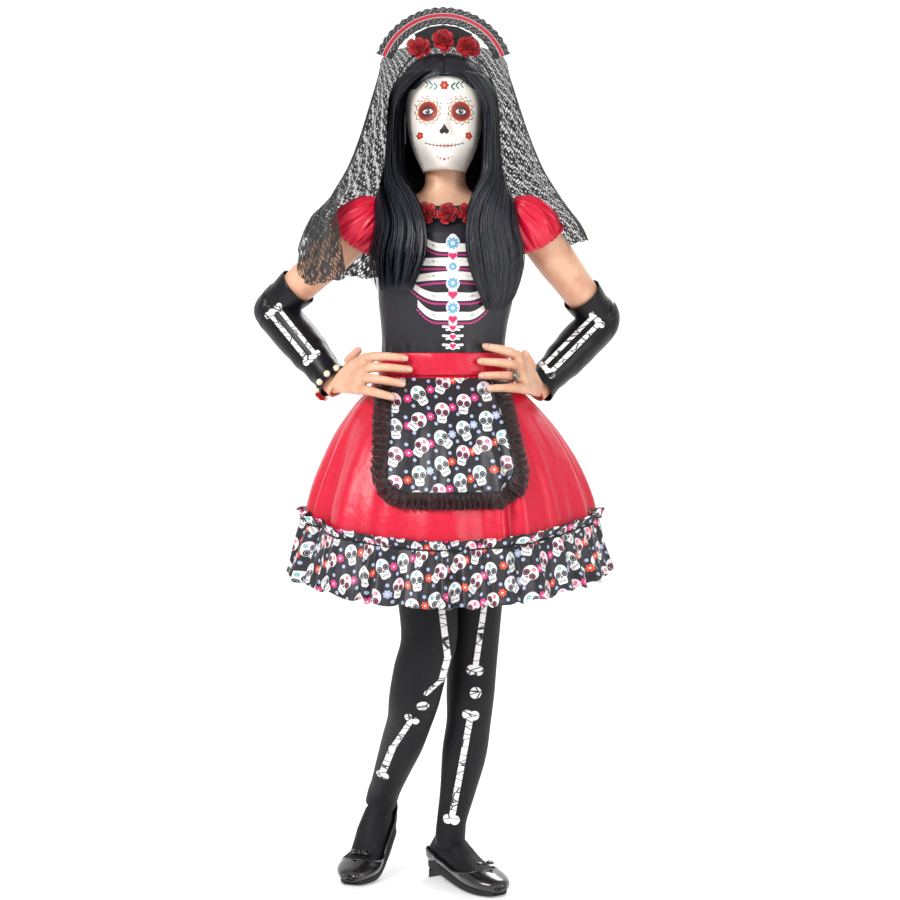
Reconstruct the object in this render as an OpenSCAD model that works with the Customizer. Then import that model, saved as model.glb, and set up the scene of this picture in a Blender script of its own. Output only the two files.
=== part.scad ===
// Life-size papier-mache catrina: hollow paper shells over a wood and steel armature, dressed in cloth.
// Millimetres, +Z up, +X to the viewer's right, the figure faces -Y and stands on z = 0.
// Left and right in the names are the figure's own.

/* [Shells] */
// Wall of the papier-mache shells
shell_wall = 5; // [4:0.5:6]
// Thickness drawn for every cloth layer
cloth = 2; // [1.5:0.5:2.5]
// Air between a cloth layer and what it covers
ease = 0.8; // [0.6:0.1:1]

/* [Skirt] */
// How far the skirt spreads beyond the waist
skirt_spread = 155; // [130:5:160]
// Drop over which the skirt spreads
skirt_drop = 118; // [105:1:125]
// Depth of the skirt's hem as a share of its width
skirt_depth = 0.94; // [0.9:0.01:0.96]
// Height of the printed hem flounce
flounce_h = 102; // [90:1:105]
// Number of gathers in the flounce
gathers = 24; // [20:1:28]

/* [Head-dress] */
// Outer radius of the fan-shaped comb
comb_r = 128; // [122:1:132]
// Radial width of the comb with both lace edges
comb_band = 31; // [28:1:33]
// Angle that each end of the comb reaches from the vertical
comb_reach = 69; // [60:1:70]
// Radius of a head-dress rose
rose_r = 21; // [18:1:22]

/* [Joints] */
// Radius of the neck post that the head turns on
neck_post_r = 10; // [9:0.5:11]
// Radius of the shoulder pegs that the arms turn on
peg_r = 8; // [7:0.5:9]
// Running clearance of every turning fit
running = 0.05; // [0.03:0.01:0.08]

/* [Hidden] */
// The whole figure is shifted so that the origin is under the centre of its box
stand_shift = [22.66, -20, 0];
waist_z = 931;
band_top = 969;
body_y = 20;
rod_r = 6;
wire_r = 4;
limb_sides = 14;
body_sides = 20;

// Torso rings: height, centre x, half width, half depth
torso_rings = [
    [800, -2, 126, 84], [850, -4, 131, 90], [905, -9, 118, 86], [965, -12, 108, 80],
    [1010, -11, 110, 83], [1060, -8, 117, 89], [1130, -4, 123, 95], [1180, -5, 123, 88],
    [1205, -6, 126, 72], [1225, -7, 116, 60], [1242, -8, 84, 50], [1256, -8, 52, 43], [1272, -8, 38, 38],
    [1312, -9, 36, 36]];
bodice_from = 3;
bodice_to = 10;

// Head rings: height, centre x, centre y, half width, half depth
head_rings = [
    [1296, -10, 3, 49, 67], [1304, -10, 1, 53, 74], [1325, -10, 2, 60, 80], [1350, -10, 5, 66, 84],
    [1390, -10, 10, 71, 88], [1430, -10, 12, 71, 90], [1460, -10, 14, 66, 84], [1480, -10, 16, 54, 70],
    [1488, -10, 17, 38, 50], [1492, -10, 18, 20, 26]];

// Shoulder pivot, elbow and wrist of each arm
shoulder_left = [146, 20, 1198];
elbow_left = [280, 125, 1030];
wrist_left = [160, 40, 906];
shoulder_right = [-158, 20, 1198];
elbow_right = [-325, 100, 1050];
wrist_right = [-207, 12, 914];

// Fingers from index to little: knuckle, middle joint's pull, tip
fingers_left = [
    [[118, -44, 966], [100, -84, 976], [64, -60, 981]],
    [[120, -50, 946], [102, -92, 954], [55, -68, 955]],
    [[124, -56, 926], [106, -98, 932], [57, -71, 930]],
    [[131, -60, 907], [114, -104, 910], [70, -99, 908]]];
fingers_right = [
    [[-150, -40, 960], [-132, -88, 968], [-80, -68, 961]],
    [[-153, -46, 942], [-136, -96, 948], [-72, -72, 941]],
    [[-156, -50, 924], [-140, -102, 928], [-83, -98, 916]],
    [[-160, -52, 906], [-148, -108, 906], [-100, -112, 893]]];
thumb_left = [[152, 18, 924], [148, 22, 950], [136, 26, 968]];
thumb_right = [[-196, 4, 934], [-184, 12, 958], [-166, 18, 974]];
knuckles_left = [124, -50, 937];
knuckles_right = [-155, -46, 933];
finger_r = [9.5, 9.2, 8.6, 8.0, 7.4, 6.4];
ring_at = 0.34;

// Leg stations: centre, half width, half depth
leg_left_path = [
    [[54, 22, 796], 60, 66], [[52, 20, 740], 58, 63], [[50, 18, 640], 54, 58], [[45, 14, 520], 48, 52],
    [[40, 10, 410], 43, 46], [[37, 6, 350], 41, 45], [[34, 12, 300], 38, 42], [[26, 20, 240], 38, 43],
    [[14, 25, 170], 30, 34], [[4, 28, 120], 25, 28], [[1, 30, 92], 25, 29]];
leg_right_path = [
    [[-66, 22, 784], 56, 66], [[-65, 9, 720], 55, 62], [[-48, -38, 600], 53, 57], [[-64, -38, 470],
        48, 50],
    [[-54, -57, 400], 45, 46], [[-64, -50, 352], 43, 46], [[-73, -22, 308], 38, 42], [[-87, 18, 260],
        36, 41],
    [[-104, 56, 210], 31, 34], [[-118, 86, 168], 27, 30], [[-124, 98, 150], 27, 30]];
// Foot stations, heel to toe
foot_left_path = [
    [[-29, 87, 45], 5, 6], [[-27, 84, 45], 15, 16], [[-21, 74, 47], 24, 24], [[-6, 52, 60], 28, 37],
    [[12, 26, 52], 29, 36], [[34, -4, 37], 33, 26], [[55, -34, 28], 36, 19], [[74, -60, 23], 33, 14],
    [[88, -80, 20], 19, 9], [[90, -83, 19], 8, 5]];
foot_right_path = [
    [[-120, 134, 132], 5, 5], [[-121, 132, 131], 15, 14], [[-124, 121, 124], 24, 21], [[-133, 96, 109],
        29, 34],
    [[-145, 75, 79], 32, 31], [[-155, 60, 45], 35, 22.5], [[-164, 42, 29], 37, 19], [[-173, 18, 23],
        33, 14],
    [[-180, -4, 19], 19, 9], [[-181, -7, 18], 8, 5]];
// How far each side of the top line a shoe stays open at those stations
shoe_open = [90, 60, 80, 115, 112, 100, 62, 3, 3, 3];

function unit(v) = v / norm(v);
function mix(a, b, t) = a + (b - a) * t;
function flat(lists) = [for (l = lists) for (p = l) p];

// A ring of points: right-handed about the direction of travel
function ring(c, u, v, a, b, n = limb_sides) = [for (i = [0:n - 1]) let (t = 360 * i / n) c + a *
    cos(t) * u + b * sin(t) * v];
function level_ring(z, x, y, a, b, n) = ring([x, y, z], [1, 0, 0], [0, 1, 0], a, b, n);

// Direction of travel at station k of a path
function heading(p, k) = unit(p[min(k + 1, len(p) - 1)][0] - p[max(k - 1, 0)][0]);
function path_rings(p, grow = 0, side = [0, 1, 0], n = limb_sides) = [
    for (k = [0:len(p) - 1])
        let (t = heading(p, k), u = unit(cross(t, side)), v = cross(t, u))
        ring(p[k][0], u, v, p[k][1] + grow, p[k][2] + grow, n)];

function side_faces(m, n, first, out) = [
    for (k = [0:m - 2], i = [0:n - 1])
        let (j = (i + 1) % n, a = first + k * n + i, b = first + (k + 1) * n + i,
            c = first + (k + 1) * n + j, d = first + k * n + j)
        each out ? [[a, b, c], [a, c, d]] : [[a, c, b], [a, d, c]]];
function end_face(first, n, turn) = [for (i = [0:n - 1]) first + (turn ? n - 1 - i : i)];
function rim_faces(outer, inner, n, start) = [
    for (i = [0:n - 1])
        let (j = (i + 1) % n, a = outer + i, b = outer + j, c = inner + j, d = inner + i)
        each start ? [[a, b, c], [a, c, d]] : [[a, c, b], [a, d, c]]];

// A solid skinned over closed rings
module skinned(rings) {
    n = len(rings[0]);
    m = len(rings);
    polyhedron(flat(rings), concat([end_face(0, n, false)], side_faces(m, n, 0, true),
        [end_face((m - 1) * n, n, true)]));
}

// A tube wall between outer and inner rings, whose last end may be closed over
module walled(outer, inner, closed_end = false) {
    n = len(outer[0]);
    m = len(outer);
    first = m * n;
    ends = closed_end
        ? [end_face((m - 1) * n, n, true), end_face(first + (m - 1) * n, n, false)]
        : rim_faces((m - 1) * n, first + (m - 1) * n, n, false);
    polyhedron(concat(flat(outer), flat(inner)),
        concat(side_faces(m, n, 0, true), side_faces(m, n, first, false), rim_faces(0, first, n, true),
            ends));
}

// A sheet between two grids of the same size: rows run down, columns run round the figure
// anticlockwise from above
module sheet(outer, inner) {
    m = len(outer);
    n = len(outer[0]);
    first = m * n;
    function quad(a, b, c, d) = [[a, b, c], [a, c, d]];
    faces = concat(
        [for (k = [0:m - 2], i = [0:n - 2]) let (a = k * n + i) each quad(a, a + 1, a + n + 1, a + n)],
        [for (k = [0:m - 2], i = [0:n - 2]) let (a = first + k * n + i) each quad(a, a + n, a + n + 1,
            a + 1)],
        [for (i = [0:n - 2]) each quad(i, first + i, first + i + 1, i + 1)],
        [for (i = [0:n - 2]) let (a = (m - 1) * n + i) each quad(a, a + 1, first + a + 1, first + a)],
        [for (k = [0:m - 2]) let (a = k * n) each quad(a, a + n, first + a + n, first + a)],
        [for (k = [0:m - 2]) let (a = k * n + n - 1) each quad(a, first + a, first + a + n, a + n)]);
    polyhedron(concat(flat(outer), flat(inner)), faces);
}

// A round bar from a to b
module bar(a, b, r) {
    d = b - a;
    translate(a)
        rotate([0, acos(d[2] / norm(d)), atan2(d[1], d[0])])
            cylinder(h = norm(d), r = r, $fn = 32);
}

// A bent rod through a list of points
module rod(points, r) {
    for (k = [0:len(points) - 2]) bar(points[k], points[k + 1], r);
    for (k = [1:1:len(points) - 2]) translate(points[k]) sphere(r = r + 1, $fn = 32);
}

// ---- torso and armature ----

function torso_rows(from, to, grow, n = body_sides) = [
    for (k = [from:to]) let (r = torso_rings[k]) level_ring(r[0], r[1], body_y, r[2] + grow,
        r[3] + grow, n)];
function arm_axis(s, e) = unit(e - s);

// Wooden shoulder joint: a bar through the chest, a knob at each end and a peg that points down the
// upper arm
module knobs(grow) {
    translate([-126, 2 - grow, 1189 - grow]) cube([252, 34 + 2 * grow, 26 + 2 * grow]);
    for (j = [[shoulder_left, elbow_left], [shoulder_right, elbow_right]])
        translate(j[0] - 20 * arm_axis(j[0], j[1])) sphere(r = 22 + grow, $fn = 48);
}
module pegs(r) {
    for (j = [[shoulder_left, elbow_left], [shoulder_right, elbow_right]])
        let (d = arm_axis(j[0], j[1])) bar(j[0] - 34 * d, j[0] + 20 * d, r);
}

module torso_shell() {
    last = len(torso_rings) - 1;
    color("tan") difference() {
        walled(torso_rows(0, last, 0), torso_rows(0, last, -shell_wall));
        knobs(0.4);
    }
}

module spine_post() {
    color("silver") translate([-9, body_y, 856]) cylinder(h = 1366 - 856, r = neck_post_r, $fn = 48);
}

// A wooden block fills the head's neck opening and turns on the neck post
module head_plug() {
    z = 1325;
    color("burlywood") difference() {
        skinned([for (q = [[0, 60, 80], [20, 64.8, 83.2]]) level_ring(z + q[0], -10, 2 + 0.12 * q[0],
            q[1] - shell_wall - 0.15, q[2] - shell_wall - 0.15, body_sides)]);
        translate([-9, body_y, z - 1]) cylinder(h = 40, r = neck_post_r + running, $fn = 48);
    }
}

module hip_block() {
    color("peru") difference() {
        skinned([for (q = [[812, -2.5, 127.2, 85.4], [848, -3.9, 130.8, 89.8]])
            level_ring(q[0], q[1], body_y, q[2] - shell_wall - 0.2, q[3] - shell_wall - 0.2,
                body_sides)]);
        translate([54, 22, 800]) cylinder(h = 60, r = rod_r, $fn = 32);
        translate([-66, 22, 800]) cylinder(h = 60, r = rod_r, $fn = 32);
    }
}

module shoulder_bar() {
    color("peru") difference() {
        knobs(0);
        translate([-9, body_y, 1180]) cylinder(h = 60, r = neck_post_r, $fn = 48);
        pegs(peg_r);
    }
}

module shoulder_peg(s, e) {
    d = arm_axis(s, e);
    color("burlywood") bar(s - 32 * d, s + 62 * d, peg_r);
}

module leg_rod(path, top) {
    color("silver") rod([top, path[5][0], path[9][0], path[10][0] + [0, 0, -34]], rod_r);
}

// ---- legs and feet ----

module leg(path) {
    color("tan") walled(path_rings(path, n = 12), path_rings(path, -shell_wall, n = 12));
}

// A station half way between every two of a path
function finer(path) = concat(
    [for (k = [0:len(path) - 2]) each [path[k], mix(path[k], path[k + 1], 0.5)]], [path[len(path) - 1]]);

// A foot clears its shoe, and its ankle narrows from the end of the leg shell down into the foot
foot_gap = 3;
module foot(path, leg_path) {
    last = len(leg_path) - 1;
    down = heading(leg_path, last);
    top = leg_path[last][0] + 1.5 * down;
    color("tan") union() {
        skinned(path_rings(finer(path), -foot_gap, [0, 0, 1], 12));
        skinned(path_rings([[top, 25, 28], [top + 12 * down, 21, 24], [top + 28 * down, 11, 13]], 0,
            [0, 1, 0], 12));
    }
}

module tights() {
    color("black") {
        for (p = [leg_left_path, leg_right_path])
            walled(path_rings(p, ease + 1.2, n = 12), path_rings(p, ease, n = 12));
        walled(torso_rows(0, 2, 2 + ease), torso_rows(0, 2, ease));
    }
}

// ---- shoes: length runs from the heel's back to the toe's tip ----

module shoe_plan(grow) {
    offset(delta = grow) hull() {
        translate([27, 0]) circle(r = 25, $fn = 32);
        translate([146, 0]) circle(r = 37, $fn = 32);
        translate([188, 2]) circle(r = 27, $fn = 32);
    }
}

module flat_sole() {
    intersection() {
        linear_extrude(40) shoe_plan(0);
        rotate([90, 0, 0]) linear_extrude(100, center = true)
            polygon([[-5, 14], [44, 14], [97, 0], [230, 0], [230, 5], [99, 5], [46, 19], [-5, 19]]);
    }
}

module tiptoe_sole() {
    intersection() {
        linear_extrude(140) shoe_plan(0);
        rotate([90, 0, 0]) linear_extrude(100, center = true)
            polygon([[28, 118], [42, 100], [122, 8], [134, 0], [230, 0], [230, 5], [138, 5], [127, 12],
                [48, 104], [34, 121]]);
    }
}

module at_left_shoe() { translate([-33, 88, 0]) rotate([0, 0, -53.5]) children(); }
module at_right_shoe() { translate([-114, 188, 0]) rotate([0, 0, -108.5]) children(); }

module shoe_sole_left() { color("dimgray") at_left_shoe() flat_sole(); }
module shoe_sole_right() { color("dimgray") at_right_shoe() tiptoe_sole(); }

module heel_block() {
    intersection() {
        linear_extrude(14) shoe_plan(-2);
        cube([40, 80, 60], center = true);
    }
}
module shoe_heel_left() { color("black") at_left_shoe() heel_block(); }
module shoe_heel_right() {
    color("black") at_right_shoe() translate([42, 0, 100]) rotate([0, 49, 0]) translate([14, 0, -13.3])
        intersection() {
            cylinder(h = 13, r = 24, $fn = 48);
            translate([-24, -24, 0]) cube([34, 48, 13]);
        }
}

// The upper of a cut-away flat: a wall round the foot, left open along the top as far as the vamp
module shoe_upper(foot_path) {
    path = finer(foot_path);
    last = len(path) - 1;
    function open(k) = mix(shoe_open[floor(k / 2)], shoe_open[ceil(k / 2)], 0.5);
    function row(k, grow) = let (t = heading(path, k), u = unit(cross(t, [0, 0, 1])), v = cross(t, u),
        q = path[k], g = open(k))
        [for (i = [0:12]) let (a = mix(270 - g, g - 90, i / 12))
            q[0] + (q[1] + grow) * cos(a) * u + (q[2] + grow) * sin(a) * v];
    color("black") sheet([for (k = [0:last]) row(k, 3.2)], [for (k = [0:last]) row(k, 0.8)]);
}

module bow(at, turn, tilt) {
    color("black") translate(at) rotate([tilt, 0, turn]) {
        for (s = [-1, 1]) translate([s * 11, 0, 0]) rotate([0, 0, s * 10]) cube([18, 12, 4],
            center = true);
        cube([7, 8, 8], center = true);
    }
}

// ---- arms ----

// Stations of an arm shell: round where it turns, easing to the elbow and the wrist
function arm_path(s, e, w) =
    let (d = unit(e - s), f = unit(w - e), len_a = norm(e - s), len_f = norm(w - e), bend = unit(d + f))
    concat(
        [for (q = [[4, 20], [10, 28], [20, 34.5], [34, 36.5], [90, 36.5], [130, 34]]) [s + q[0] * d,
            q[1], q[1]]],
        [[s + (len_a - 42) * d, 31.5, 31.5], [e - 16 * d - bend * 2, 32, 32], [e, 32, 31],
            [e + 20 * f + bend * 2, 33, 32]],
        [for (q = [[0.32, 34, 33], [0.6, 31, 30], [0.85, 25, 23], [1, 23, 21]]) [e + q[0] * len_f * f,
            q[1], q[2]]]);
arm_left_path = arm_path(shoulder_left, elbow_left, wrist_left);
arm_right_path = arm_path(shoulder_right, elbow_right, wrist_right);

module arm(path) {
    color("peachpuff") walled(path_rings(path), [for (k = [0:len(path) - 1]) path_rings(
        [for (q = path) [q[0], q[1] - min(shell_wall, q[1] - 9.5), q[2] - min(shell_wall,
            q[2] - 9.5)]])[k]]);
}

module arm_plug(s, e) {
    d = arm_axis(s, e);
    color("burlywood") difference() {
        bar(s + 36 * d, s + 88 * d, 30.5);
        bar(s + 30 * d, s + 64 * d, peg_r + running);
        bar(s + 66 * d, s + 90 * d, wire_r);
    }
}

module arm_wire(s, e, w, k) {
    color("silver") rod([s + 68 * arm_axis(s, e), e, w + 2 * unit(w - e), mix(w, k, 0.3)], wire_r);
}

// ---- hands ----

function bent(f, t) = mix(mix(f[0], f[1], t), mix(f[1], f[2], t), t);

module pad(c, r) { translate(c) sphere(r = r, $fn = 8); }
module link(a, ra, b, rb) {
    hull() {
        pad(a, ra);
        pad(b, rb);
    }
}
module finger(f, grow) {
    for (k = [0:2]) link(bent(f, k / 3), finger_r[2 * k] * grow, bent(f, (k + 1) / 3),
        finger_r[min(2 * k + 2, 5)] * grow);
}
// A hand butts against the end of its arm shell, and a round tenon on it goes inside
module hand(e, w, k, fingers, thumb) {
    travel = unit(k - w);
    d = unit(w - e);
    color("peachpuff") {
        bar(w - 14 * d, w + 3 * d, 14);
        difference() {
            palm_and_fingers(w, travel, d, fingers, thumb);
            bar(w - 70 * d, w + 0.4 * d, 25);
            bar(w - 70 * d, w - 1.6 * d, 42);
        }
    }
}
module palm_and_fingers(w, travel, d, fingers, thumb) {
    union() {
        hull() {
            bar(w + 0.4 * d, w + 3 * d, 20.5);
            pad(w + 12 * travel, 19);
        }
        hull() {
            pad(w + 12 * travel, 18);
            pad(mix(w, thumb[0], 0.8), 13);
            for (p = fingers) pad(mix(w, p[0], 0.55), 13);
        }
        hull() {
            pad(mix(w, thumb[0], 0.8), 12);
            for (p = fingers) pad(mix(w, p[0], 0.5), 12);
            for (p = fingers) pad(p[0], 10.5);
        }
        for (p = fingers) finger(p, 1);
        finger(thumb, 1.12);
    }
}

// ---- dress ----

module bodice() {
    color("black") difference() {
        walled(torso_rows(bodice_from, bodice_to, ease + cloth), torso_rows(bodice_from, bodice_to,
            ease));
        knobs(0.8);
    }
}

module waistband() {
    rows = [[waist_z, 2.4], [mix(waist_z, band_top, 0.5), 1.6], [band_top, 0]];
    function band(grow) = [for (r = rows) level_ring(r[0], -12, body_y, 114.5 + r[1] + grow,
        86.5 + r[1] + grow, 28)];
    color("crimson") walled(band(3), band(0));
}

// Half width of the skirt at a drop below the waist, and where its hem line hangs at an angle round
// the figure
function skirt_r(h) = 118 + skirt_spread * (1 - exp(-pow(max(h, 0) / skirt_drop, 1.25)));
// The skirt starts as flat as the waist and grows rounder as it falls
function skirt_deep(h) = skirt_depth - 0.17 * exp(-max(h, 0) / 35);
function skirt_x(h) = mix(-12, -3, min(h / 150, 1));
function droop(a) = 36 * pow(max(-sin(a), 0), 2) + 12 * pow(max(sin(a), 0), 2);
function on_skirt(a, h, grow) = [
    skirt_x(h) + (skirt_r(h) + grow) * cos(a),
    body_y + (skirt_r(h) * skirt_deep(h) + grow) * sin(a),
    waist_z - 2 - h];
seam_drop = 254;
module skirt() {
    n = 36;
    function row(s, grow) = [for (i = [0:n - 1]) let (a = 360 * i / n) on_skirt(a,
        s * (seam_drop + droop(a)), grow)];
    steps = [1, 0.76, 0.54, 0.38, 0.24, 0.13, 0.05, 0];
    color("crimson") walled([for (s = steps) row(s, 0)], [for (s = steps) row(s, -cloth)]);
}

// The flounce hangs from the skirt's lower edge and waves more towards its hem
function on_flounce(a, s, grow) =
    let (wave = 5 * s * cos(gathers * a), h = seam_drop + droop(a) + 3, r = 267 + 26 * s + wave + grow)
    [-3 + r * cos(a), body_y + (r - 16) * sin(a), waist_z - 2 - h - (flounce_h - 4) * s + 2];
module hem_flounce() {
    n = gathers * 4;
    function row(s, grow) = [for (i = [0:n - 1]) on_flounce(360 * i / n, s, grow)];
    color("midnightblue") walled([for (s = [1, 0]) row(s, 0)], [for (s = [1, 0]) row(s, -cloth)]);
}
module flounce_heading() {
    n = gathers * 3;
    function row(s, grow) = [for (i = [0:n - 1]) let (a = 360 * i / n, p = on_flounce(a, 0, 0),
        w = 3 * cos(gathers * a) * s)
        [p[0] + (w + 1 + 4 * s + grow) * cos(a), p[1] + (w + 1 + 4 * s + grow) * sin(a),
            p[2] + 3 + 14 * s]];
    color("midnightblue") walled([for (s = [0, 1]) row(s, cloth)], [for (s = [0, 1]) row(s, 0)]);
}

// The apron lies on the skirt's front. Its outline is measured across and down: straight sides,
// rounded corners
apron_drop = 196;
corner = 40;
function apron_w(h) = let (c = apron_drop - corner)
    h < c ? 88 + 34 * h / apron_drop : 88 + 34 * c / apron_drop - corner + sqrt(max(corner * corner -
        (h - c) * (h - c), 0));
function at_front(x, h, lift) = on_skirt(-90 + asin((x - 7) / (skirt_r(h) + lift)) + 3, 3 + h, lift);
module apron() {
    rows = [0, 0.2, 0.4, 0.6, 0.8, 0.87, 0.94, 0.98, 1];
    cols = 10;
    function grid(lift) = [for (s = rows) [for (i = [0:cols]) let (h = s * apron_drop) at_front((2 * i
        / cols - 1) * apron_w(h), h, lift)]];
    color("midnightblue") sheet(grid(2.2 + cloth), grid(2.2));
}

// Lace edging: a strip that laps over the apron's rim, down one side, round the corners and up the
// other side
function rim_point(q, w) =
    let (c = apron_drop - corner, side = q < 0 ? -1 : 1, k = abs(q), half = 88 + 34 * c / apron_drop)
    k < 0.28 ? [side * (half - corner) * k / 0.28, apron_drop + w]
    : k < 0.5 ? let (a = 90 * (k - 0.28) / 0.22) [side * (half - corner + (corner + w) * sin(a)),
        c + (corner + w) * cos(a)]
    : let (h = c * (1 - (k - 0.5) / 0.5)) [side * (88 + 34 * h / apron_drop + w), h];
module apron_lace() {
    n = 32;
    function row(w, lift) = [for (i = [0:n]) let (p = rim_point(2 * i / n - 1, w)) at_front(p[0], p[1],
        lift)];
    color("black") sheet([row(-3, 6), row(11, 8), row(25, 6)], [row(-3, 4.8), row(11, 6.4), row(25,
        4.4)]);
}

// A rose head facing +Z, lobed like its open petals
module rose(r) {
    skinned([for (q = [[-0.62, 0.3, 0], [-0.4, 0.35, 0], [-0.15, 0.85, 0.1], [0.2, 0.9, 0.1], [0.5,
        0.6, 0.06], [0.62, 0.2, 0]])
        [for (i = [0:14]) let (a = 24 * i, w = r * (q[1] + q[2] * cos(5 * a))) [w * cos(a), w * sin(a),
            r * q[0]]]]);
}
module neckline_roses() {
    color("firebrick") for (x = [-41, -4, 34])
        translate([x, -64 + abs(x + 4) * 0.09, 1215]) rotate([90, 0, 0]) rose(18);
}

// Puffed cap sleeve round the top of an arm, sewn to the bodice
module sleeve(s, e) {
    d = arm_axis(s, e);
    profile = [[-28, 38], [-12, 50], [8, 56], [26, 56], [38, 49]];
    function rows(grow) = path_rings([for (q = profile) [s + q[0] * d, q[1] + grow, q[1] + grow]], 0,
        [0, 1, 0], 16);
    color("crimson") difference() {
        walled(rows(0), rows(-cloth));
        skinned(torso_rows(bodice_from, bodice_to, ease + cloth + 0.4));
    }
}

module gauntlet(path, last) {
    picked = concat([for (k = [6:11]) path[k]], [last]);
    extra = [6.2, 5.6, 5, 4, 3.5, 5, 9.5];
    function rows(grow) = path_rings([for (k = [0:len(picked) - 1])
        [picked[k][0], picked[k][1] + extra[k] + grow, picked[k][2] + extra[k] + grow]]);
    color("black") walled(rows(0), rows(-1.5));
}
function cuff(e, w, r) = [w - unit(w - e) * 20, r, r];

// ---- hair, head and head-dress ----

function head_rows(from, to, grow, n = body_sides) = [
    for (k = [from:to]) let (r = head_rings[k]) level_ring(r[0] + (k == len(head_rings) - 1 ? grow :
        grow * max(k - 5, 0) / 5),
        r[1], r[2], r[3] + grow, r[4] + grow, n)];

module head_shell() {
    last = len(head_rings) - 1;
    color("ivory") {
        walled(head_rows(0, last, 0), head_rows(0, last, -shell_wall), closed_end = true);
        skinned([for (q = [[1347, 3, 2], [1352, 11, 8], [1368, 7, 6], [1392, 4, 2]])
            level_ring(q[0], -10, -80, q[1], q[2] + 4, 12)]);
    }
}

module wig_crown() {
    last = len(head_rings) - 1;
    color("black") walled(head_rows(6, last, 10), head_rows(6, last, 1.5), closed_end = true);
}

// Hair and veil rows: height, centre x and y, inner half width and depth, first and last angle, tilt,
// arch, lift
function strand_row(q, thick, n) = [for (i = [0:n - 1]) let (a = mix(q[5], q[6], i / (n - 1)))
    [q[1] + (q[3] + thick) * cos(a), q[2] + (q[4] + thick) * sin(a),
        q[0] + (len(q) > 7 ? q[7] * cos(a) + q[8] * sin(a) : 0) + (len(q) > 9 ? q[9] * arm_lift(a) : 0)]];
module draped(rows, thick, n) {
    sheet([for (k = [0:len(rows) - 1]) strand_row(rows[k], thick[min(k, len(thick) - 1)], n)],
        [for (q = rows) strand_row(q, 0, n)]);
}

hair_back_rows = [
    [1452, -10, 14, 75, 92, 12, 168], [1400, -10, 14, 80, 96, 16, 164], [1340, -10, 16, 82, 92, 20, 160],
    [1290, -10, 18, 88, 84, 26, 154], [1245, -8, 20, 100, 88, 36, 144], [1200, -6, 20, 128, 100, 44, 136],
    [1140, -4, 20, 130, 106, 46, 134], [1060, -8, 20, 128, 106, 50, 130], [1010, -8, 20, 124, 102, 58,
        122]];
module hair_back() { color("black") draped(hair_back_rows, [12, 18, 20, 20, 18, 16, 14, 12, 6], 13); }

lock_left_rows = [
    [1455, -10, 12, 74, 92, -66, 8], [1430, -10, 12, 76, 93, -46, 11], [1400, -10, 11, 76, 92, -26, 12],
    [1340, -10, 6, 78, 90, -22, 14], [1290, -10, 8, 84, 90, -32, 6], [1245, -8, 12, 104, 94, -64, -14],
    [1200, -5, 20, 134, 101, -76, -32], [1140, -4, 20, 132, 107, -76, -24], [1080, -6, 20, 126, 102,
        -66, -28],
    [1045, -8, 20, 122, 97, -56, -34]];
lock_right_rows = [for (k = [0:8]) let (q = lock_left_rows[k]) [q[0], q[1] - min(2 * k, 4), q[2], q[3],
    q[4], 180 - q[6], 180 - q[5]]];
module hair_front_left() { color("black") draped(lock_left_rows, [7, 12, 21, 26, 26, 20, 14, 18, 16,
    6], 9); }
module hair_front_right() { color("black") draped(lock_right_rows, [7, 12, 21, 26, 26, 20, 14, 18, 8],
    9); }

crown_c = [-10, -12, 1428];
module headband() {
    color("black") translate(crown_c) rotate([90, 0, 0]) difference() {
        linear_extrude(9, center = true) difference() {
            circle(r = 89.5, $fn = 96);
            circle(r = 87, $fn = 96);
        }
        translate([0, -50, 0]) cube([200, 130, 20], center = true);
    }
}

comb_c = [-12, -6.3, 1457];
// Part of the comb's arc between two radii, standing upright
module comb_arc(inner, outer, thick) {
    translate(comb_c) rotate([90, 0, 0]) linear_extrude(thick, center = true) difference() {
        circle(r = outer, $fn = 128);
        circle(r = inner, $fn = 128);
        polygon([[0, 0], 300 * [sin(comb_reach), cos(comb_reach)], [300, -300], [-300, -300],
            300 * [-sin(comb_reach), cos(comb_reach)]]);
    }
}
module comb_ribbon() { color("crimson") comb_arc(comb_r - 19.5, comb_r - 9.5, 2.4); }
module comb_lace_outer() { color("black") comb_arc(comb_r - 9.4, comb_r, 1.6); }
module comb_lace_inner() { color("black") comb_arc(comb_r - comb_band, comb_r - 19.6, 1.6); }
module comb_stay() {
    color("black") translate(comb_c) rotate([90, 0, 0]) linear_extrude(2, center = true)
        polygon([[-52, 80], [-26, 92.6], [0, comb_r - comb_band - 0.6], [26, 92.6], [52, 80], [40, 60],
            [0, 62], [-40, 60]]);
}

module headband_roses() {
    color("firebrick") for (q = [[-55, -30, 1510], [-11, -30, 1524], [32, -30, 1512]])
        translate(q) rotate([90, 0, 0]) rose(rose_r);
}

veil_rows = [
    [1490, -12, 14, 112, 0.5, 0, 180, 0, 34], [1488, -12, 14, 114, 76, -2, 182, 0, 19], [1466, -12, 14,
        118, 106, -4, 184, 0, 0],
    [1430, -12, 14, 128, 120, -6, 187, 0, 0], [1360, -12, 18, 150, 124, -8, 192, 0, 0],
    [1300, -12, 20, 174, 128, -10, 199, 0, 0], [1252, -12, 20, 205, 134, -14, 208, 2, 0],
    [1206, -12, 20, 240, 140, -16, 220, 6, 0, 22], [1132, -12, 20, 262, 138, -8, 229, 44, 0, 92]];
// Where the right arm comes out from under the veil its hem lies higher
function arm_lift(a) = exp(-pow((a - 163) / 21, 2));
module veil() { color("dimgray") draped(veil_rows, [1.5], 21); }

// ---- jewellery ----

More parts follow.
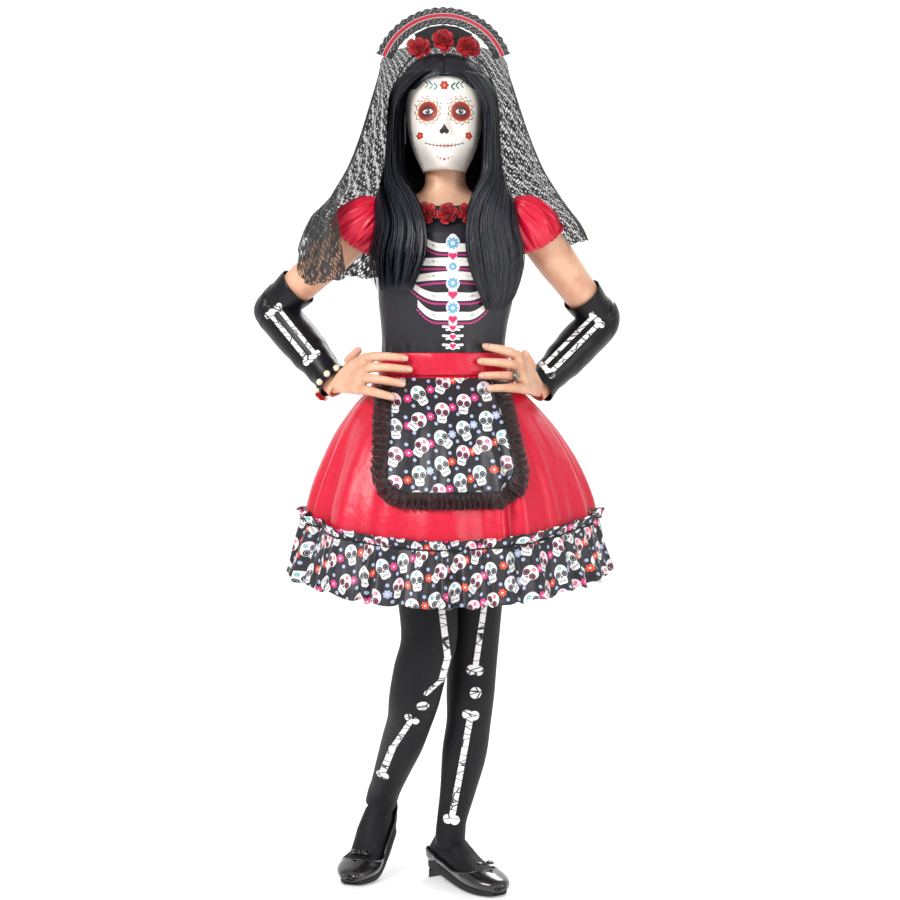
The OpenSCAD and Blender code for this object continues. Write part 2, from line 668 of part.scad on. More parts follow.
wrist_dir = unit(wrist_right - elbow_right);
bracelet_c = wrist_right - wrist_dir * 9.5;
module at_bracelet() {
    d = wrist_dir;
    translate(bracelet_c) rotate([0, acos(d[2]), atan2(d[1], d[0])]) children();
}
bracelet_r = 33;
module bracelet_cord() { color("black") at_bracelet() rotate_extrude($fn = 64) translate([bracelet_r -
    0.6, -1]) square([1.2, 2]); }
module bracelet_beads() {
    color("ivory") at_bracelet() for (a = [60:36:312]) rotate([0, 0, a]) translate([bracelet_r, 0, 0])
        difference() {
            sphere(r = 6, $fn = 32);
            rotate([90, 0, 0]) cylinder(h = 20, r = 1.6, center = true, $fn = 24);
        }
}
module bracelet_rose() {
    color("red") at_bracelet() translate([bracelet_r + 7, 0, 0]) rotate([0, 90, 0]) {
        cylinder(h = 5, r = 12, center = true, $fn = 48);
        translate([0, 0, 2]) sphere(r = 8, $fn = 32);
    }
}

ring_finger = fingers_left[2];
ring_c = bent(ring_finger, ring_at);
ring_dir = unit(bent(ring_finger, ring_at + 0.05) - bent(ring_finger, ring_at - 0.05));
module at_ring() {
    translate(ring_c) rotate([0, acos(ring_dir[2]), atan2(ring_dir[1], ring_dir[0])]) children();
}
module ring_band() { color("silver") at_ring() rotate_extrude($fn = 64) translate([9.8,
    -2.5]) square([1.5, 5]); }
module ring_skull() {
    color("silver") at_ring() translate([0, 16.4, 0]) {
        sphere(r = 5, $fn = 32);
        translate([0, -3.4, 0]) rotate([90, 0, 0]) cylinder(h = 2.6, r = 4, center = true, $fn = 32);
    }
}

module place() { translate(stand_shift) children(); }

place() torso_shell();
place() head_shell();
place() head_plug();
place() spine_post();
place() hip_block();
place() shoulder_bar();
place() shoulder_peg(shoulder_left, elbow_left);  // shoulder_peg_left
place() shoulder_peg(shoulder_right, elbow_right);  // shoulder_peg_right
place() leg_rod(leg_left_path, [54, 22, 850]);  // leg_rod_left
place() leg_rod(leg_right_path, [-66, 22, 850]);  // leg_rod_right
place() leg(leg_left_path);  // leg_left
place() leg(leg_right_path);  // leg_right
place() foot(foot_left_path, leg_left_path);  // foot_left
place() foot(foot_right_path, leg_right_path);  // foot_right
place() arm(arm_left_path);  // arm_left
place() arm(arm_right_path);  // arm_right
place() arm_plug(shoulder_left, elbow_left);  // arm_plug_left
place() arm_plug(shoulder_right, elbow_right);  // arm_plug_right
place() arm_wire(shoulder_left, elbow_left, wrist_left,  // arm_wire_left
    knuckles_left);
place() arm_wire(shoulder_right, elbow_right,  // arm_wire_right
    wrist_right, knuckles_right);
place() hand(elbow_left, wrist_left, knuckles_left,  // hand_left
    fingers_left, thumb_left);
place() hand(elbow_right, wrist_right, knuckles_right,  // hand_right
    fingers_right, thumb_right);
place() bodice();
place() waistband();
place() skirt();
place() hem_flounce();
place() flounce_heading();
place() apron();
place() apron_lace();
place() sleeve(shoulder_left, elbow_left);  // sleeve_left
place() sleeve(shoulder_right, elbow_right);  // sleeve_right
place() neckline_roses();
place() gauntlet(arm_left_path, cuff(elbow_left,  // gauntlet_left
    wrist_left, 25));
place() gauntlet(arm_right_path, cuff(elbow_right,  // gauntlet_right
    wrist_right, 25));
place() tights();
place() shoe_upper(foot_left_path);  // shoe_upper_left
place() shoe_upper(foot_right_path);  // shoe_upper_right
place() shoe_sole_left();
place() shoe_sole_right();
place() shoe_heel_left();
place() shoe_heel_right();
place() bow([62, -44, 51.5], 36, 17);  // shoe_bow_left
place() bow([-166, 34, 52.5], -18, 25);  // shoe_bow_right
place() wig_crown();
place() hair_back();
place() hair_front_left();
place() hair_front_right();
place() headband();
place() comb_stay();
place() comb_ribbon();
place() comb_lace_outer();
place() comb_lace_inner();
place() headband_roses();
place() veil();
place() bracelet_cord();
place() bracelet_beads();
place() bracelet_rose();
place() ring_band();
place() ring_skull();
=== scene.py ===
import random
from functools import reduce
from math import asin, cos, exp, pi, radians, sin, sqrt

import bmesh
import bpy
from mathutils import Matrix, Vector, noise


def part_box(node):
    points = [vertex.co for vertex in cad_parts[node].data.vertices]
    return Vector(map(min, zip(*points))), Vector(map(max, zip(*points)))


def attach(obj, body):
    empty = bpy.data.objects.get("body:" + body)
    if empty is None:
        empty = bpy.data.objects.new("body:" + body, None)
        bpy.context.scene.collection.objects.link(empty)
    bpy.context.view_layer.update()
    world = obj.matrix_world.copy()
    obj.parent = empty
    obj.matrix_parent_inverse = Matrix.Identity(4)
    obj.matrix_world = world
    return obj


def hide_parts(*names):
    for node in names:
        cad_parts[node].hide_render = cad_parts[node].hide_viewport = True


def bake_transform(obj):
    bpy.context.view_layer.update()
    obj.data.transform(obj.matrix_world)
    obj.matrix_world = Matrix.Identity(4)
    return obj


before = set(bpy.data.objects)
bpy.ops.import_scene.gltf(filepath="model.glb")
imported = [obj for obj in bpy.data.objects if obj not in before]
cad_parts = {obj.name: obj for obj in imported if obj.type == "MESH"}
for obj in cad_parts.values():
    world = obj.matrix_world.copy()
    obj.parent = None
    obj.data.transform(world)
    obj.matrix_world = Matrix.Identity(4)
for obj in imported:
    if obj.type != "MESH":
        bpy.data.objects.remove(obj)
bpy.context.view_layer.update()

# ---- places: drawing millimetres, measured from the neck post ----

MM = 0.001
post_low, post_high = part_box("spine_post")
SHIFT = Vector(((post_low.x + post_high.x) / 2 + 0.009, (post_low.y + post_high.y) / 2 - 0.020, 0))


def at(x, y, z):
    return Vector((x, y, z)) * MM + SHIFT


def mix(a, b, t):
    return a + (b - a) * t


def smooth(t):
    t = min(max(t, 0.0), 1.0)
    return t * t * (3 - 2 * t)


def hump(x, width):
    return exp(-(x / width) ** 2)


def along(rows, t):
    """The numbers at t, from 0 to 1, on a smooth curve through rows of numbers."""
    x = min(max(t, 0.0), 1.0) * (len(rows) - 1)
    k = min(int(x), len(rows) - 2)
    f = x - k
    four = [rows[min(max(k + i, 0), len(rows) - 1)] for i in (-1, 0, 1, 2)]
    return [
        0.5 * (2 * q + (r - p) * f + (2 * p - 5 * q + 4 * r - s) * f * f + (3 * q - p - 3 * r + s) * f**3)
        for p, q, r, s in zip(*four)
    ]


def level(rows, z):
    """The same, at a height: every row starts with its own."""
    heights = [r[0] for r in rows]
    sign = 1 if heights[-1] > heights[0] else -1
    for k in range(len(rows) - 1):
        if sign * z <= sign * heights[k + 1] or k == len(rows) - 2:
            f = (z - heights[k]) / (heights[k + 1] - heights[k])
            return along(rows, (k + min(max(f, 0), 1)) / (len(rows) - 1))


def ripple(x, y, z=0.0, scale=1.0):
    return noise.noise(Vector((x, y, z)) * scale)


# Torso rings: height, centre x, half width, half depth
TORSO = [
    (800, -2, 126, 84), (850, -4, 131, 90), (905, -9, 118, 86), (965, -12, 108, 80), (1010, -11, 110, 83),
    (1060, -8, 117, 89), (1130, -4, 123, 95), (1180, -5, 123, 88), (1205, -6, 126, 72), (1225, -7, 116, 60),
    (1242, -8, 84, 50), (1256, -8, 52, 43), (1272, -8, 38, 38), (1312, -9, 36, 36),
]
# Head rings, from under the jaw to the crown: height, centre x, centre y, half width, half depth
HEAD = [
    (1303, -9, 20, 38.0, 38.6), (1297, -9.5, 11, 37, 50), (1293, -10, 4, 37, 60), (1296, -10, 1, 40, 69),
    (1306, -10, 1, 45, 74), (1323, -10, 2, 53, 79), (1350, -10, 5, 62, 84), (1390, -10, 10, 69, 88),
    (1430, -10, 12, 71, 90), (1460, -10, 14, 66, 84), (1478, -10, 16, 54, 70), (1487, -10, 17, 38, 50),
    (1491, -10, 18, 20, 26), (1492, -10, 18, 0.01, 0.01),
]
SHOULDER = {"left": Vector((146, 20, 1198)), "right": Vector((-158, 20, 1198))}
ELBOW = {"left": Vector((280, 125, 1030)), "right": Vector((-325, 100, 1050))}
WRIST = {"left": Vector((160, 40, 906)), "right": Vector((-207, 12, 914))}
# Leg stations from the hip down: centre, half width, half depth
LEG = {
    "left": [
        (54, 22, 796, 60, 66), (52, 20, 740, 58, 63), (50, 18, 640, 54, 58), (45, 14, 520, 48, 52),
        (40, 10, 410, 43, 46), (37, 6, 350, 41, 45), (34, 12, 300, 38, 42), (26, 20, 240, 38, 43),
        (14, 25, 170, 30, 34), (4, 28, 120, 25, 28), (1, 30, 92, 25, 29), (0, 33, 70, 25, 29),
    ],
    "right": [
        (-66, 22, 784, 56, 66), (-65, 9, 720, 55, 62), (-48, -38, 600, 53, 57), (-37, -56, 470, 48, 50),
        (-54, -57, 400, 45, 46), (-64, -50, 352, 43, 46), (-73, -22, 308, 38, 42), (-87, 18, 260, 36, 41),
        (-104, 56, 210, 31, 34), (-118, 86, 168, 27, 30), (-124, 98, 150, 27, 30), (-130, 104, 128, 26, 29),
    ],
}
# Shoe stations from heel to toe: centre, half width, half height, and how far each side of the top is open
SHOE = {
    "left": [
        (-29, 87, 45, 5, 6, 90), (-27, 84, 45, 15, 16, 60), (-21, 74, 47, 24, 24, 80),
        (-6, 52, 60, 28, 37, 115),
        (12, 26, 52, 29, 36, 112), (34, -4, 37, 33, 26, 100), (55, -34, 28, 36, 19, 62),
        (74, -60, 23, 33, 14, 3),
        (88, -80, 20, 19, 9, 3), (90, -83, 19, 7, 4, 3),
    ],
    "right": [
        (-120, 134, 132, 5, 5, 90), (-121, 132, 131, 15, 14, 60), (-124, 121, 124, 24, 21, 80),
        (-133, 96, 109, 29, 34, 115), (-145, 75, 79, 32, 31, 112), (-155, 60, 45, 35, 22.5, 100),
        (-164, 42, 29, 37, 19, 62), (-173, 18, 23, 33, 14, 3), (-180, -4, 19, 19, 9, 3),
        (-181, -7, 18, 7, 4, 3),
    ],
}
# Finger lines: knuckle, pull of the middle joint, tip
FINGERS = {
    "left": [
        ((118, -44, 966), (100, -84, 976), (64, -60, 981)),
        ((120, -50, 946), (102, -92, 954), (55, -68, 955)),
        ((124, -56, 926), (106, -98, 932), (57, -71, 930)),
        ((131, -60, 907), (114, -104, 910), (70, -99, 908)),
        ((152, 18, 924), (148, 22, 950), (136, 26, 968)),
    ],
    "right": [
        ((-150, -40, 960), (-132, -88, 968), (-80, -68, 961)),
        ((-153, -46, 942), (-136, -96, 948), (-72, -72, 941)),
        ((-156, -50, 924), (-140, -102, 928), (-83, -98, 916)),
        ((-160, -52, 906), (-148, -108, 906), (-100, -112, 893)),
        ((-196, 4, 934), (-184, 12, 958), (-166, 18, 974)),
    ],
}
BODY_Y = 20
UPPER_ARM = {s: (ELBOW[s] - SHOULDER[s]).normalized() for s in SHOULDER}
FOREARM = {s: (WRIST[s] - ELBOW[s]).normalized() for s in SHOULDER}

# ---- making pieces ----


def surface(across, down, shape, flat=(1.0, 1.0), bm=None):
    """A sheet of cloth or skin, moved point by point. flat is its cut size in mm and becomes its UV map."""
    bm = bm or bmesh.new()
    uv = bm.loops.layers.uv.get("UVMap") or bm.loops.layers.uv.new("UVMap")
    made = bmesh.ops.create_grid(bm, x_segments=across, y_segments=down, size=0.5)["verts"]
    for face in {f for v in made for f in v.link_faces}:
        for loop in face.loops:
            p = loop.vert.co
            loop[uv].uv = ((p.x + 0.5) * flat[0] * MM, (p.y + 0.5) * flat[1] * MM)
    for v in made:
        v.co = shape(v.co.x + 0.5, v.co.y + 0.5)
    return bm


def piece(name, bm, body, material, nodes=(), wall=0.0, side=0.0, weld=True, outward=False):
    """The finished object: welded, given its wall, its material and its body."""
    if weld:
        bmesh.ops.remove_doubles(bm, verts=bm.verts, dist=4e-6)
        bmesh.ops.dissolve_degenerate(bm, edges=bm.edges, dist=1e-6)
    if outward:
        bmesh.ops.recalc_face_normals(bm, faces=bm.faces)
    mesh = bpy.data.meshes.new(name)
    bm.to_mesh(mesh)
    bm.free()
    mesh.shade_smooth()
    mesh.materials.append(material)
    obj = bpy.data.objects.new(name, mesh)
    bpy.context.scene.collection.objects.link(obj)
    if wall:
        thick = obj.modifiers.new("wall", "SOLIDIFY")
        thick.thickness = wall * MM
        thick.offset = side
    if nodes:
        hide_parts(*nodes)
    if body:
        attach(obj, body)
    return obj


def cloth(obj):
    """Returns the sheet as it is."""
    return obj


def around(rows, t, turn, grow=0.0, side=(0, 1, 0)):
    """A point round a limb: t along its stations, turn in radians right-handed about its travel."""
    here = along(rows, t)
    way = Vector(along(rows, min(t + 0.012, 1))[:3]) - Vector(along(rows, max(t - 0.012, 0))[:3])
    way.normalize()
    u = way.cross(Vector(side)).normalized()
    v = way.cross(u)
    return Vector(here[:3]) + (here[3] + grow) * cos(turn) * u + (here[4] + grow) * sin(turn) * v


def copied(node, voxel, passes, push=0.0):
    """A CAD node's shape, filled afresh in small cells and rubbed smooth."""
    bm = bmesh.new()
    bm.from_mesh(bpy.data.objects[node].data)
    bmesh.ops.remove_doubles(bm, verts=bm.verts, dist=1e-5)
    mesh = bpy.data.meshes.new("rough")
    bm.to_mesh(mesh)
    bm.free()
    obj = bpy.data.objects.new("rough", mesh)
    bpy.context.scene.collection.objects.link(obj)
    cells = obj.modifiers.new("cells", "REMESH")
    cells.mode = "VOXEL"
    cells.voxel_size = voxel * MM
    rub = obj.modifiers.new("rub", "SMOOTH")
    rub.factor = 0.5
    rub.iterations = passes
    result = bmesh.new()
    result.from_object(obj, bpy.context.evaluated_depsgraph_get())
    bpy.data.objects.remove(obj)
    result.normal_update()
    for v in result.verts:
        v.co += v.normal * push * MM
    return result


# ---- finishes ----


def hexed(text, alpha=1.0):
    """An sRGB hex colour as linear numbers."""
    parts = [int(text[i : i + 2], 16) / 255 for i in (0, 2, 4)]
    return [c / 12.92 if c <= 0.04045 else ((c + 0.055) / 1.055) ** 2.4 for c in parts] + [alpha]


def add(tree, kind, settings=None, links=None):
    """Adds a node, sets it up and links or fills its sockets."""
    n = tree.nodes.new("ShaderNode" + kind)
    for key, value in (settings or {}).items():
        setattr(n, key, value)
    for key, value in (links or {}).items():
        value = getattr(value, "socket", value)
        if isinstance(value, bpy.types.NodeSocket):
            tree.links.new(value, n.inputs[key])
        else:
            n.inputs[key].default_value = value
    return n


class Field:
    """A number that changes over a surface. Arithmetic on it adds the Math nodes that work it out."""

    def __init__(self, socket):
        self.socket = socket

    def __add__(self, other):
        return work("ADD", self, other)

    def __sub__(self, other):
        return work("SUBTRACT", self, other)

    def __rsub__(self, other):
        return work("SUBTRACT", other, self)

    def __mul__(self, other):
        return work("MULTIPLY", self, other)

    def __truediv__(self, other):
        return work("DIVIDE", self, other)

    def __abs__(self):
        return work("ABSOLUTE", self)

    __radd__ = __add__
    __rmul__ = __mul__


def work(kind, a, b=0.0, clamp=False):
    tree = (a if isinstance(a, Field) else b).socket.id_data
    return Field(add(tree, "Math", dict(operation=kind, use_clamp=clamp), {0: a, 1: b}).outputs[0])


def least(*fields):
    return reduce(lambda a, b: work("MINIMUM", a, b), fields)


def most(*fields):
    return reduce(lambda a, b: work("MAXIMUM", a, b), fields)


def away(x, z, cx=0.0, cz=0.0):
    """Distance from a point."""
    dx, dz = x - cx, z - cz
    return work("SQRT", dx * dx + dz * dz)


def stroke(x, z, ax, az, bx, bz, r):
    """Distance from a rounded bar."""
    size = (bx - ax) ** 2 + (bz - az) ** 2
    t = work("ADD", (x - ax) * ((bx - ax) / size) + (z - az) * ((bz - az) / size), 0.0, clamp=True)
    return away(x - ax - t * (bx - ax), z - az - t * (bz - az)) - r


def ink(d, soft=0.5):
    """1 inside an outline and 0 outside, with a soft edge in mm."""
    return work("ADD", d * (-1 / soft), 0.5, clamp=True)


def line(d, half, soft=0.5):
    return ink(abs(d) - half, soft)


def material(name):
    mat = bpy.data.materials.new(name)
    mat.use_nodes = True
    tree = mat.node_tree
    tree.nodes.clear()
    shader = add(tree, "BsdfPrincipled")
    add(tree, "OutputMaterial", {}, {"Surface": shader.outputs[0]})
    return mat, tree, shader


def feed(shader, **sockets):
    for name, value in sockets.items():
        key = name.replace("_", " ")
        value = getattr(value, "socket", value)
        if isinstance(value, bpy.types.NodeSocket):
            shader.id_data.links.new(value, shader.inputs[key])
        else:
            shader.inputs[key].default_value = value


def place_mm(tree, kind="Object"):
    """The three coordinates in drawing mm, or the two of the cut cloth."""
    parts = add(tree, "SeparateXYZ", {}, {0: add(tree, "TexCoord").outputs[kind]}).outputs
    moved = SHIFT if kind == "Object" else Vector()
    return [Field(parts[i]) * 1000.0 - moved[i] * 1000.0 for i in range(3)]


def point(x, y, z=0.0):
    return add(x.socket.id_data, "CombineXYZ", {}, {0: x, 1: y, 2: z}).outputs[0]


def grain(where, size, detail=3.0, rough=0.5, out=0):
    """Soft noise whose lumps are size mm across; where is in mm."""
    return Field(
        add(where.id_data, "TexNoise", {}, {"Vector": where, "Scale": 1 / size, "Detail": detail,
            "Roughness": rough}).outputs[out]
    )


def tint(base, *layers):
    """Lays colours over a base, each through its mask. A colour is an sRGB hex or the output of a node."""
    base = hexed(base) if isinstance(base, str) else base
    for mask, colour in layers:
        colour = hexed(colour) if isinstance(colour, str) else colour
        base = add(mask.socket.id_data, "Mix", dict(data_type="RGBA"),
                   {0: mask, 6: base, 7: colour}).outputs[2]
    return base


def ramp(field, start, slope):
    """0 as far as start, then rising by slope as far as 1."""
    return work("MULTIPLY", field - start, slope, clamp=True)


def dent(height, distance, strength=1.0):
    """A normal from a height field; distance in mm."""
    return add(height.socket.id_data, "Bump", {}, {"Strength": strength, "Distance": distance * MM,
        "Height": height}).outputs[0]


def papier_mache(name, light, dark):
    """Papier-mache, painted and waxed: soft colour drift, brush marks and ridges of torn paper under paint."""
    mat, tree, shader = material(name)
    x, y, z = place_mm(tree)
    here = point(x, y, z)
    drift = grain(here, 38, 4)
    speck = grain(here, 2.2, 2)
    ridge = grain(point(x, y, z * 0.35), 9, 5, 0.6)
    base = tint(light, (ramp(drift, 0.42, 4.0), dark))
    base = tint(base, (ramp(speck, 0.6, 1.2), dark))
    feed(shader, Base_Color=base, Roughness=0.46, Normal=dent(ridge + speck * 0.15, 0.5, 0.5))
    feed(shader, Subsurface_Weight=0.06, Subsurface_Radius=(0.004, 0.002, 0.001), Coat_Weight=0.12)
    return mat


def flower(x, z, cx, cz, r, petals):
    """Distance from a flower's outline."""
    dx, dz = x - cx, z - cz
    turn = work("ARCTAN2", dz, dx)
    return away(dx, dz) - r - abs(work("COSINE", turn * (petals / 2))) * (r * 0.42)


def heart(x, z, cx, cz, size):
    """Distance from a heart, point down."""
    dx, dz = abs(x - cx), z - cz
    lobes = away(dx, dz, size * 0.42, size * 0.22) - size * 0.5
    return least(lobes, most(dx * 0.75 - (dz + size * 0.95) * 0.62, dz - size * 0.25))


def painted_face():
    """White gesso with a sugar-skull pattern in thin acrylic: chalky, lightly waxed, fine brush edges."""
    mat, tree, shader = material("gessoed papier-mache, painted face")
    x, y, z = place_mm(tree)
    here = point(x, y, z)
    wobble = (grain(here, 6, 2) - 0.5) * 0.7
    dx, dz = x + 10 + wobble, z + wobble
    ax = abs(dx)
    ex, ez = ax - 29, dz - 1393
    r, turn = away(ex, ez), work("ARCTAN2", ez, ex)
    scallop = r - 18.4 - abs(work("COSINE", turn * 6.5)) * 4.2
    almond = most(away(ex, ez, 0, -7.0), away(ex, ez, 0, 7.0)) - 12.2
    mouth = 1332 + dx * dx * 0.006
    off = dz - mouth
    tick = abs(work("FRACT", dx / 6.4 + 0.5) - 0.5) * 6.4
    brow_dots = away(abs(work("FRACT", turn * (9 / pi)) - 0.5) * 8.6, r, 0, 26.2) - 1.25
    nose = least(away(ax, dz, 3.9, 1357) - 4.3, most(ax * 0.9 + (dz - 1357) * 0.55 - 7.0, 1356 - dz))
    leaf = least(*(stroke(ax, dz, 13 + 8 * i, 1437 + 2.2 * i, 18 + 8 * i, 1442 + 2.2 * i,
        1.7 - 0.3 * i) for i in range(3)))
    leaf = least(leaf, *(stroke(ax, dz, 13 + 8 * i, 1435 + 2.2 * i, 17 + 8 * i, 1431 + 2.2 * i,
        1.6 - 0.3 * i) for i in range(3)))
    petal = flower(dx, dz, 0, 1438, 5.6, 6)
    cheek = flower(ax, dz, 43, 1352, 4.6, 5)
    chin = least(away(dx, dz, 0, 1309) - 2.4, away(ax, dz, 7, 1311) - 1.7, away(ax, dz, 13, 1314) - 1.2)
    shade = ramp(grain(here, 26, 3), 0.45, 2.5)
    base = tint(
        "efe9e2",
        (shade, "ddd2c8"),
        (line(scallop, 0.8), "6f0b12"),
        (ink(brow_dots) * ink(dz * -1 + 1400), "b3121f"),
        (ink(r - 17.2), "b01a22"),
        (ink(r - 12.5, 9.0), "3d060b"),
        (line(r - 17.2, 0.8), "b98935"),
        (ink(almond), "f2eee8"),
        (ink(away(ex, ez) - 4.7) * ink(almond), "54483c"),
        (ink(away(ex, ez) - 2.3), "050505"),
        # Painted highlight: a small white glint on each pupil, standing in for a reflected light.
        (ink(away(ex, ez, 1.4, 1.6) - 0.9), "ffffff"),
        (line(almond, 0.65), "120608"),
        (ink(nose), "17090c"),
        (line(off, 0.6) * ink(ax - 35), "1c0a0c"),
        (ink(tick - 0.5) * ink(abs(off) - 5.4 + ax * 0.11) * ink(ax - 34), "1c0a0c"),
        (ink(abs(off) - 2.6 + ax * 0.12) * ink(ax - 20) * 0.5, "b3121f"),
        (ink(leaf), "1c6b66"),
        (ink(petal), "b3121f"),
        (line(petal, 0.4), "5a070d"),
        (ink(away(dx, dz, 0, 1438) - 2.4), "d79a2e"),
        (ink(cheek), "b3121f"),
        (ink(away(ax, dz, 43, 1352) - 1.9), "d79a2e"),
        (ink(chin), "b3121f"),
    )
    feed(shader, Base_Color=base, Roughness=0.5, Normal=dent(grain(here, 5, 4, 0.6), 0.35, 0.4))
    feed(shader, Coat_Weight=0.15)
    return mat


def satin(name, light, shadow, thread=1.1, gloss=0.34):
    """Polyester satin: a tight warp-faced weave with a bright, slightly streaked sheen along its folds,
    painted into the colour as light and shade: a lit red and a shaded red mixed by noise streaks.
    """
    mat, tree, shader = material(name)
    x, y, _ = place_mm(tree, "UV")
    painted_sheen_streak = grain(point(x * 0.9, y * 0.04), 1.4, 2)
    painted_shade_band = grain(point(x * 0.06, y), 1.6, 2)
    warp = work("SINE", x * (2 * pi / thread))
    # Painted light and shade: noise mixes the lit red (light) and the shaded red (shadow), as streaks of
    # painted sheen and bands of painted shade.
    base = tint(light, (ramp(painted_sheen_streak, 0.35, 1.1), shadow))
    base = tint(base, (ramp(painted_shade_band, 0.55, 0.8), shadow))
    crease = grain(point(x, y), 22, 4, 0.55)
    feed(shader, Base_Color=base, Normal=dent(crease * 2.2 + painted_sheen_streak * 0.05 + warp * 0.012, 1.0, 0.7))
    feed(shader, Roughness=work("ADD", painted_sheen_streak * 0.12, gloss - 0.06))
    feed(shader, Sheen_Weight=0.12, Sheen_Roughness=0.4, Sheen_Tint=hexed("ff4a5e"), Specular_IOR_Level=0.5)
    return mat


def skull_cloth():
    """Printed polyester satin: scattered white sugar skulls, small flowers and pale dots on near black."""
    mat, tree, shader = material("printed polyester, skulls and flowers")
    u, v, _ = place_mm(tree, "UV")
    x, y = (u * 0.93 + v * 0.37) / 1.13, (v * 0.93 - u * 0.37) / 1.13
    row = work("FLOOR", y / 36)
    xs = x + work("FLOORED_MODULO", row, 2.0) * 19
    col = work("FLOOR", xs / 38)
    dice = add(tree, "TexWhiteNoise", dict(noise_dimensions="3D"), {"Vector": point(col, row, 3.0)})
    three = add(tree, "SeparateColor", {}, {0: dice.outputs["Color"]}).outputs
    a, b, c = (Field(three[i]) for i in range(3))
    cx, cy = xs - (col + 0.5) * 38, y - (row + 0.5) * 36
    lx, ly = cx + (b - 0.5) * 7, cy + (c - 0.5) * 7
    spin = (a - 0.5) * 1.9 - 0.38
    ca, sa = work("COSINE", spin), work("SINE", spin)
    p, q = lx * ca + ly * sa, ly * ca - lx * sa
    wide = abs(p)
    jaw = most(most(wide - 7.4, abs(q + 8.4) - 7.2), wide + abs(q + 8.4) - 11.8)
    bone = least(away(p * 1.02, q, 0, 3.6) - 11.6, jaw)
    eye = away(wide, q, 5.3, 0.4)
    nose = stroke(wide, q, 0.3, -3.4, 1.5, -5.6, 0.75)
    teeth = least(
        most(abs(q + 10.4) - 0.4, wide - 6),
        most(abs(work("FRACT", p / 2.3 + 0.5) - 0.5) * 2.3 - 0.3, abs(q + 10.4) - 2.3, wide - 6),
    )
    bloom = flower(p, q, 0, 9.6, 2.3, 5)
    curl = least(abs(away(wide, q, 7.4, 8.0) - 2.4) - 0.35, abs(away(wide, q, 9.6, -3.2) - 1.3) - 0.35)
    xs2 = xs + 19
    col2 = work("FLOOR", xs2 / 38)
    pick = Field(
        add(tree, "TexWhiteNoise", dict(noise_dimensions="3D"),
            {"Vector": point(col2, row, 8.0)}).outputs["Value"]
    )
    fx, fy = xs2 - (col2 + 0.5) * 38, cy
    blossom = flower(fx, fy, 0, 0, 4.4, 7)
    dots = away(fx, abs(fy), 3.0, 12.5) - 2.7
    warm, pink = work("LESS_THAN", pick, 0.45), work("LESS_THAN", pick, 0.8)
    petals = tint("a9b7d8", (pink, "d8307f"), (warm, "e2452f"))
    hot = work("LESS_THAN", a, 0.5)
    trim = tint("43b3c4", (hot, "e03d84"))
    wash = work("MULTIPLY", ink(away(p, q, 3, 10) - 8, 9.0), work("LESS_THAN", c, 0.35) * 0.75)
    cotton = grain(point(u, v), 0.9, 2)
    base = tint(
        "17151e",
        (ramp(cotton, 0.5, 0.25), "33303f"),
        (ink(blossom), petals),
        (ink(away(fx, fy) - 1.5), "f4ead6"),
        (ink(dots), "a8b4d4"),
        (ink(bone + 0.2), "efefee"),
        (wash * ink(bone) * 0.7, "f3b4d2"),
        (ink(curl) * ink(bone + 1) * 0.45, trim),
        (ink(eye - 4.7), "131217"),
        (line(eye - 2.6, 0.45) * 0.75, tint("a9abb0", (hot, "d03a6e"))),
        (ink(eye - 0.9), "1a1a1f"),
        (ink(nose), "1b1a20"),
        (ink(teeth), "2a2930"),
        (ink(bloom), trim),
        (ink(away(p, q, 0, 9.6) - 1.0), "f7d35c"),
    )
    crease = grain(point(u, v), 26, 4, 0.55)
    thread = work("SINE", u * 5.6) * work("SINE", v * 5.6)
    feed(shader, Base_Color=base, Roughness=0.42, Normal=dent(crease * 1.8 + thread * 0.03, 1.0, 0.6))
    feed(shader, Sheen_Weight=0.1)
    return mat


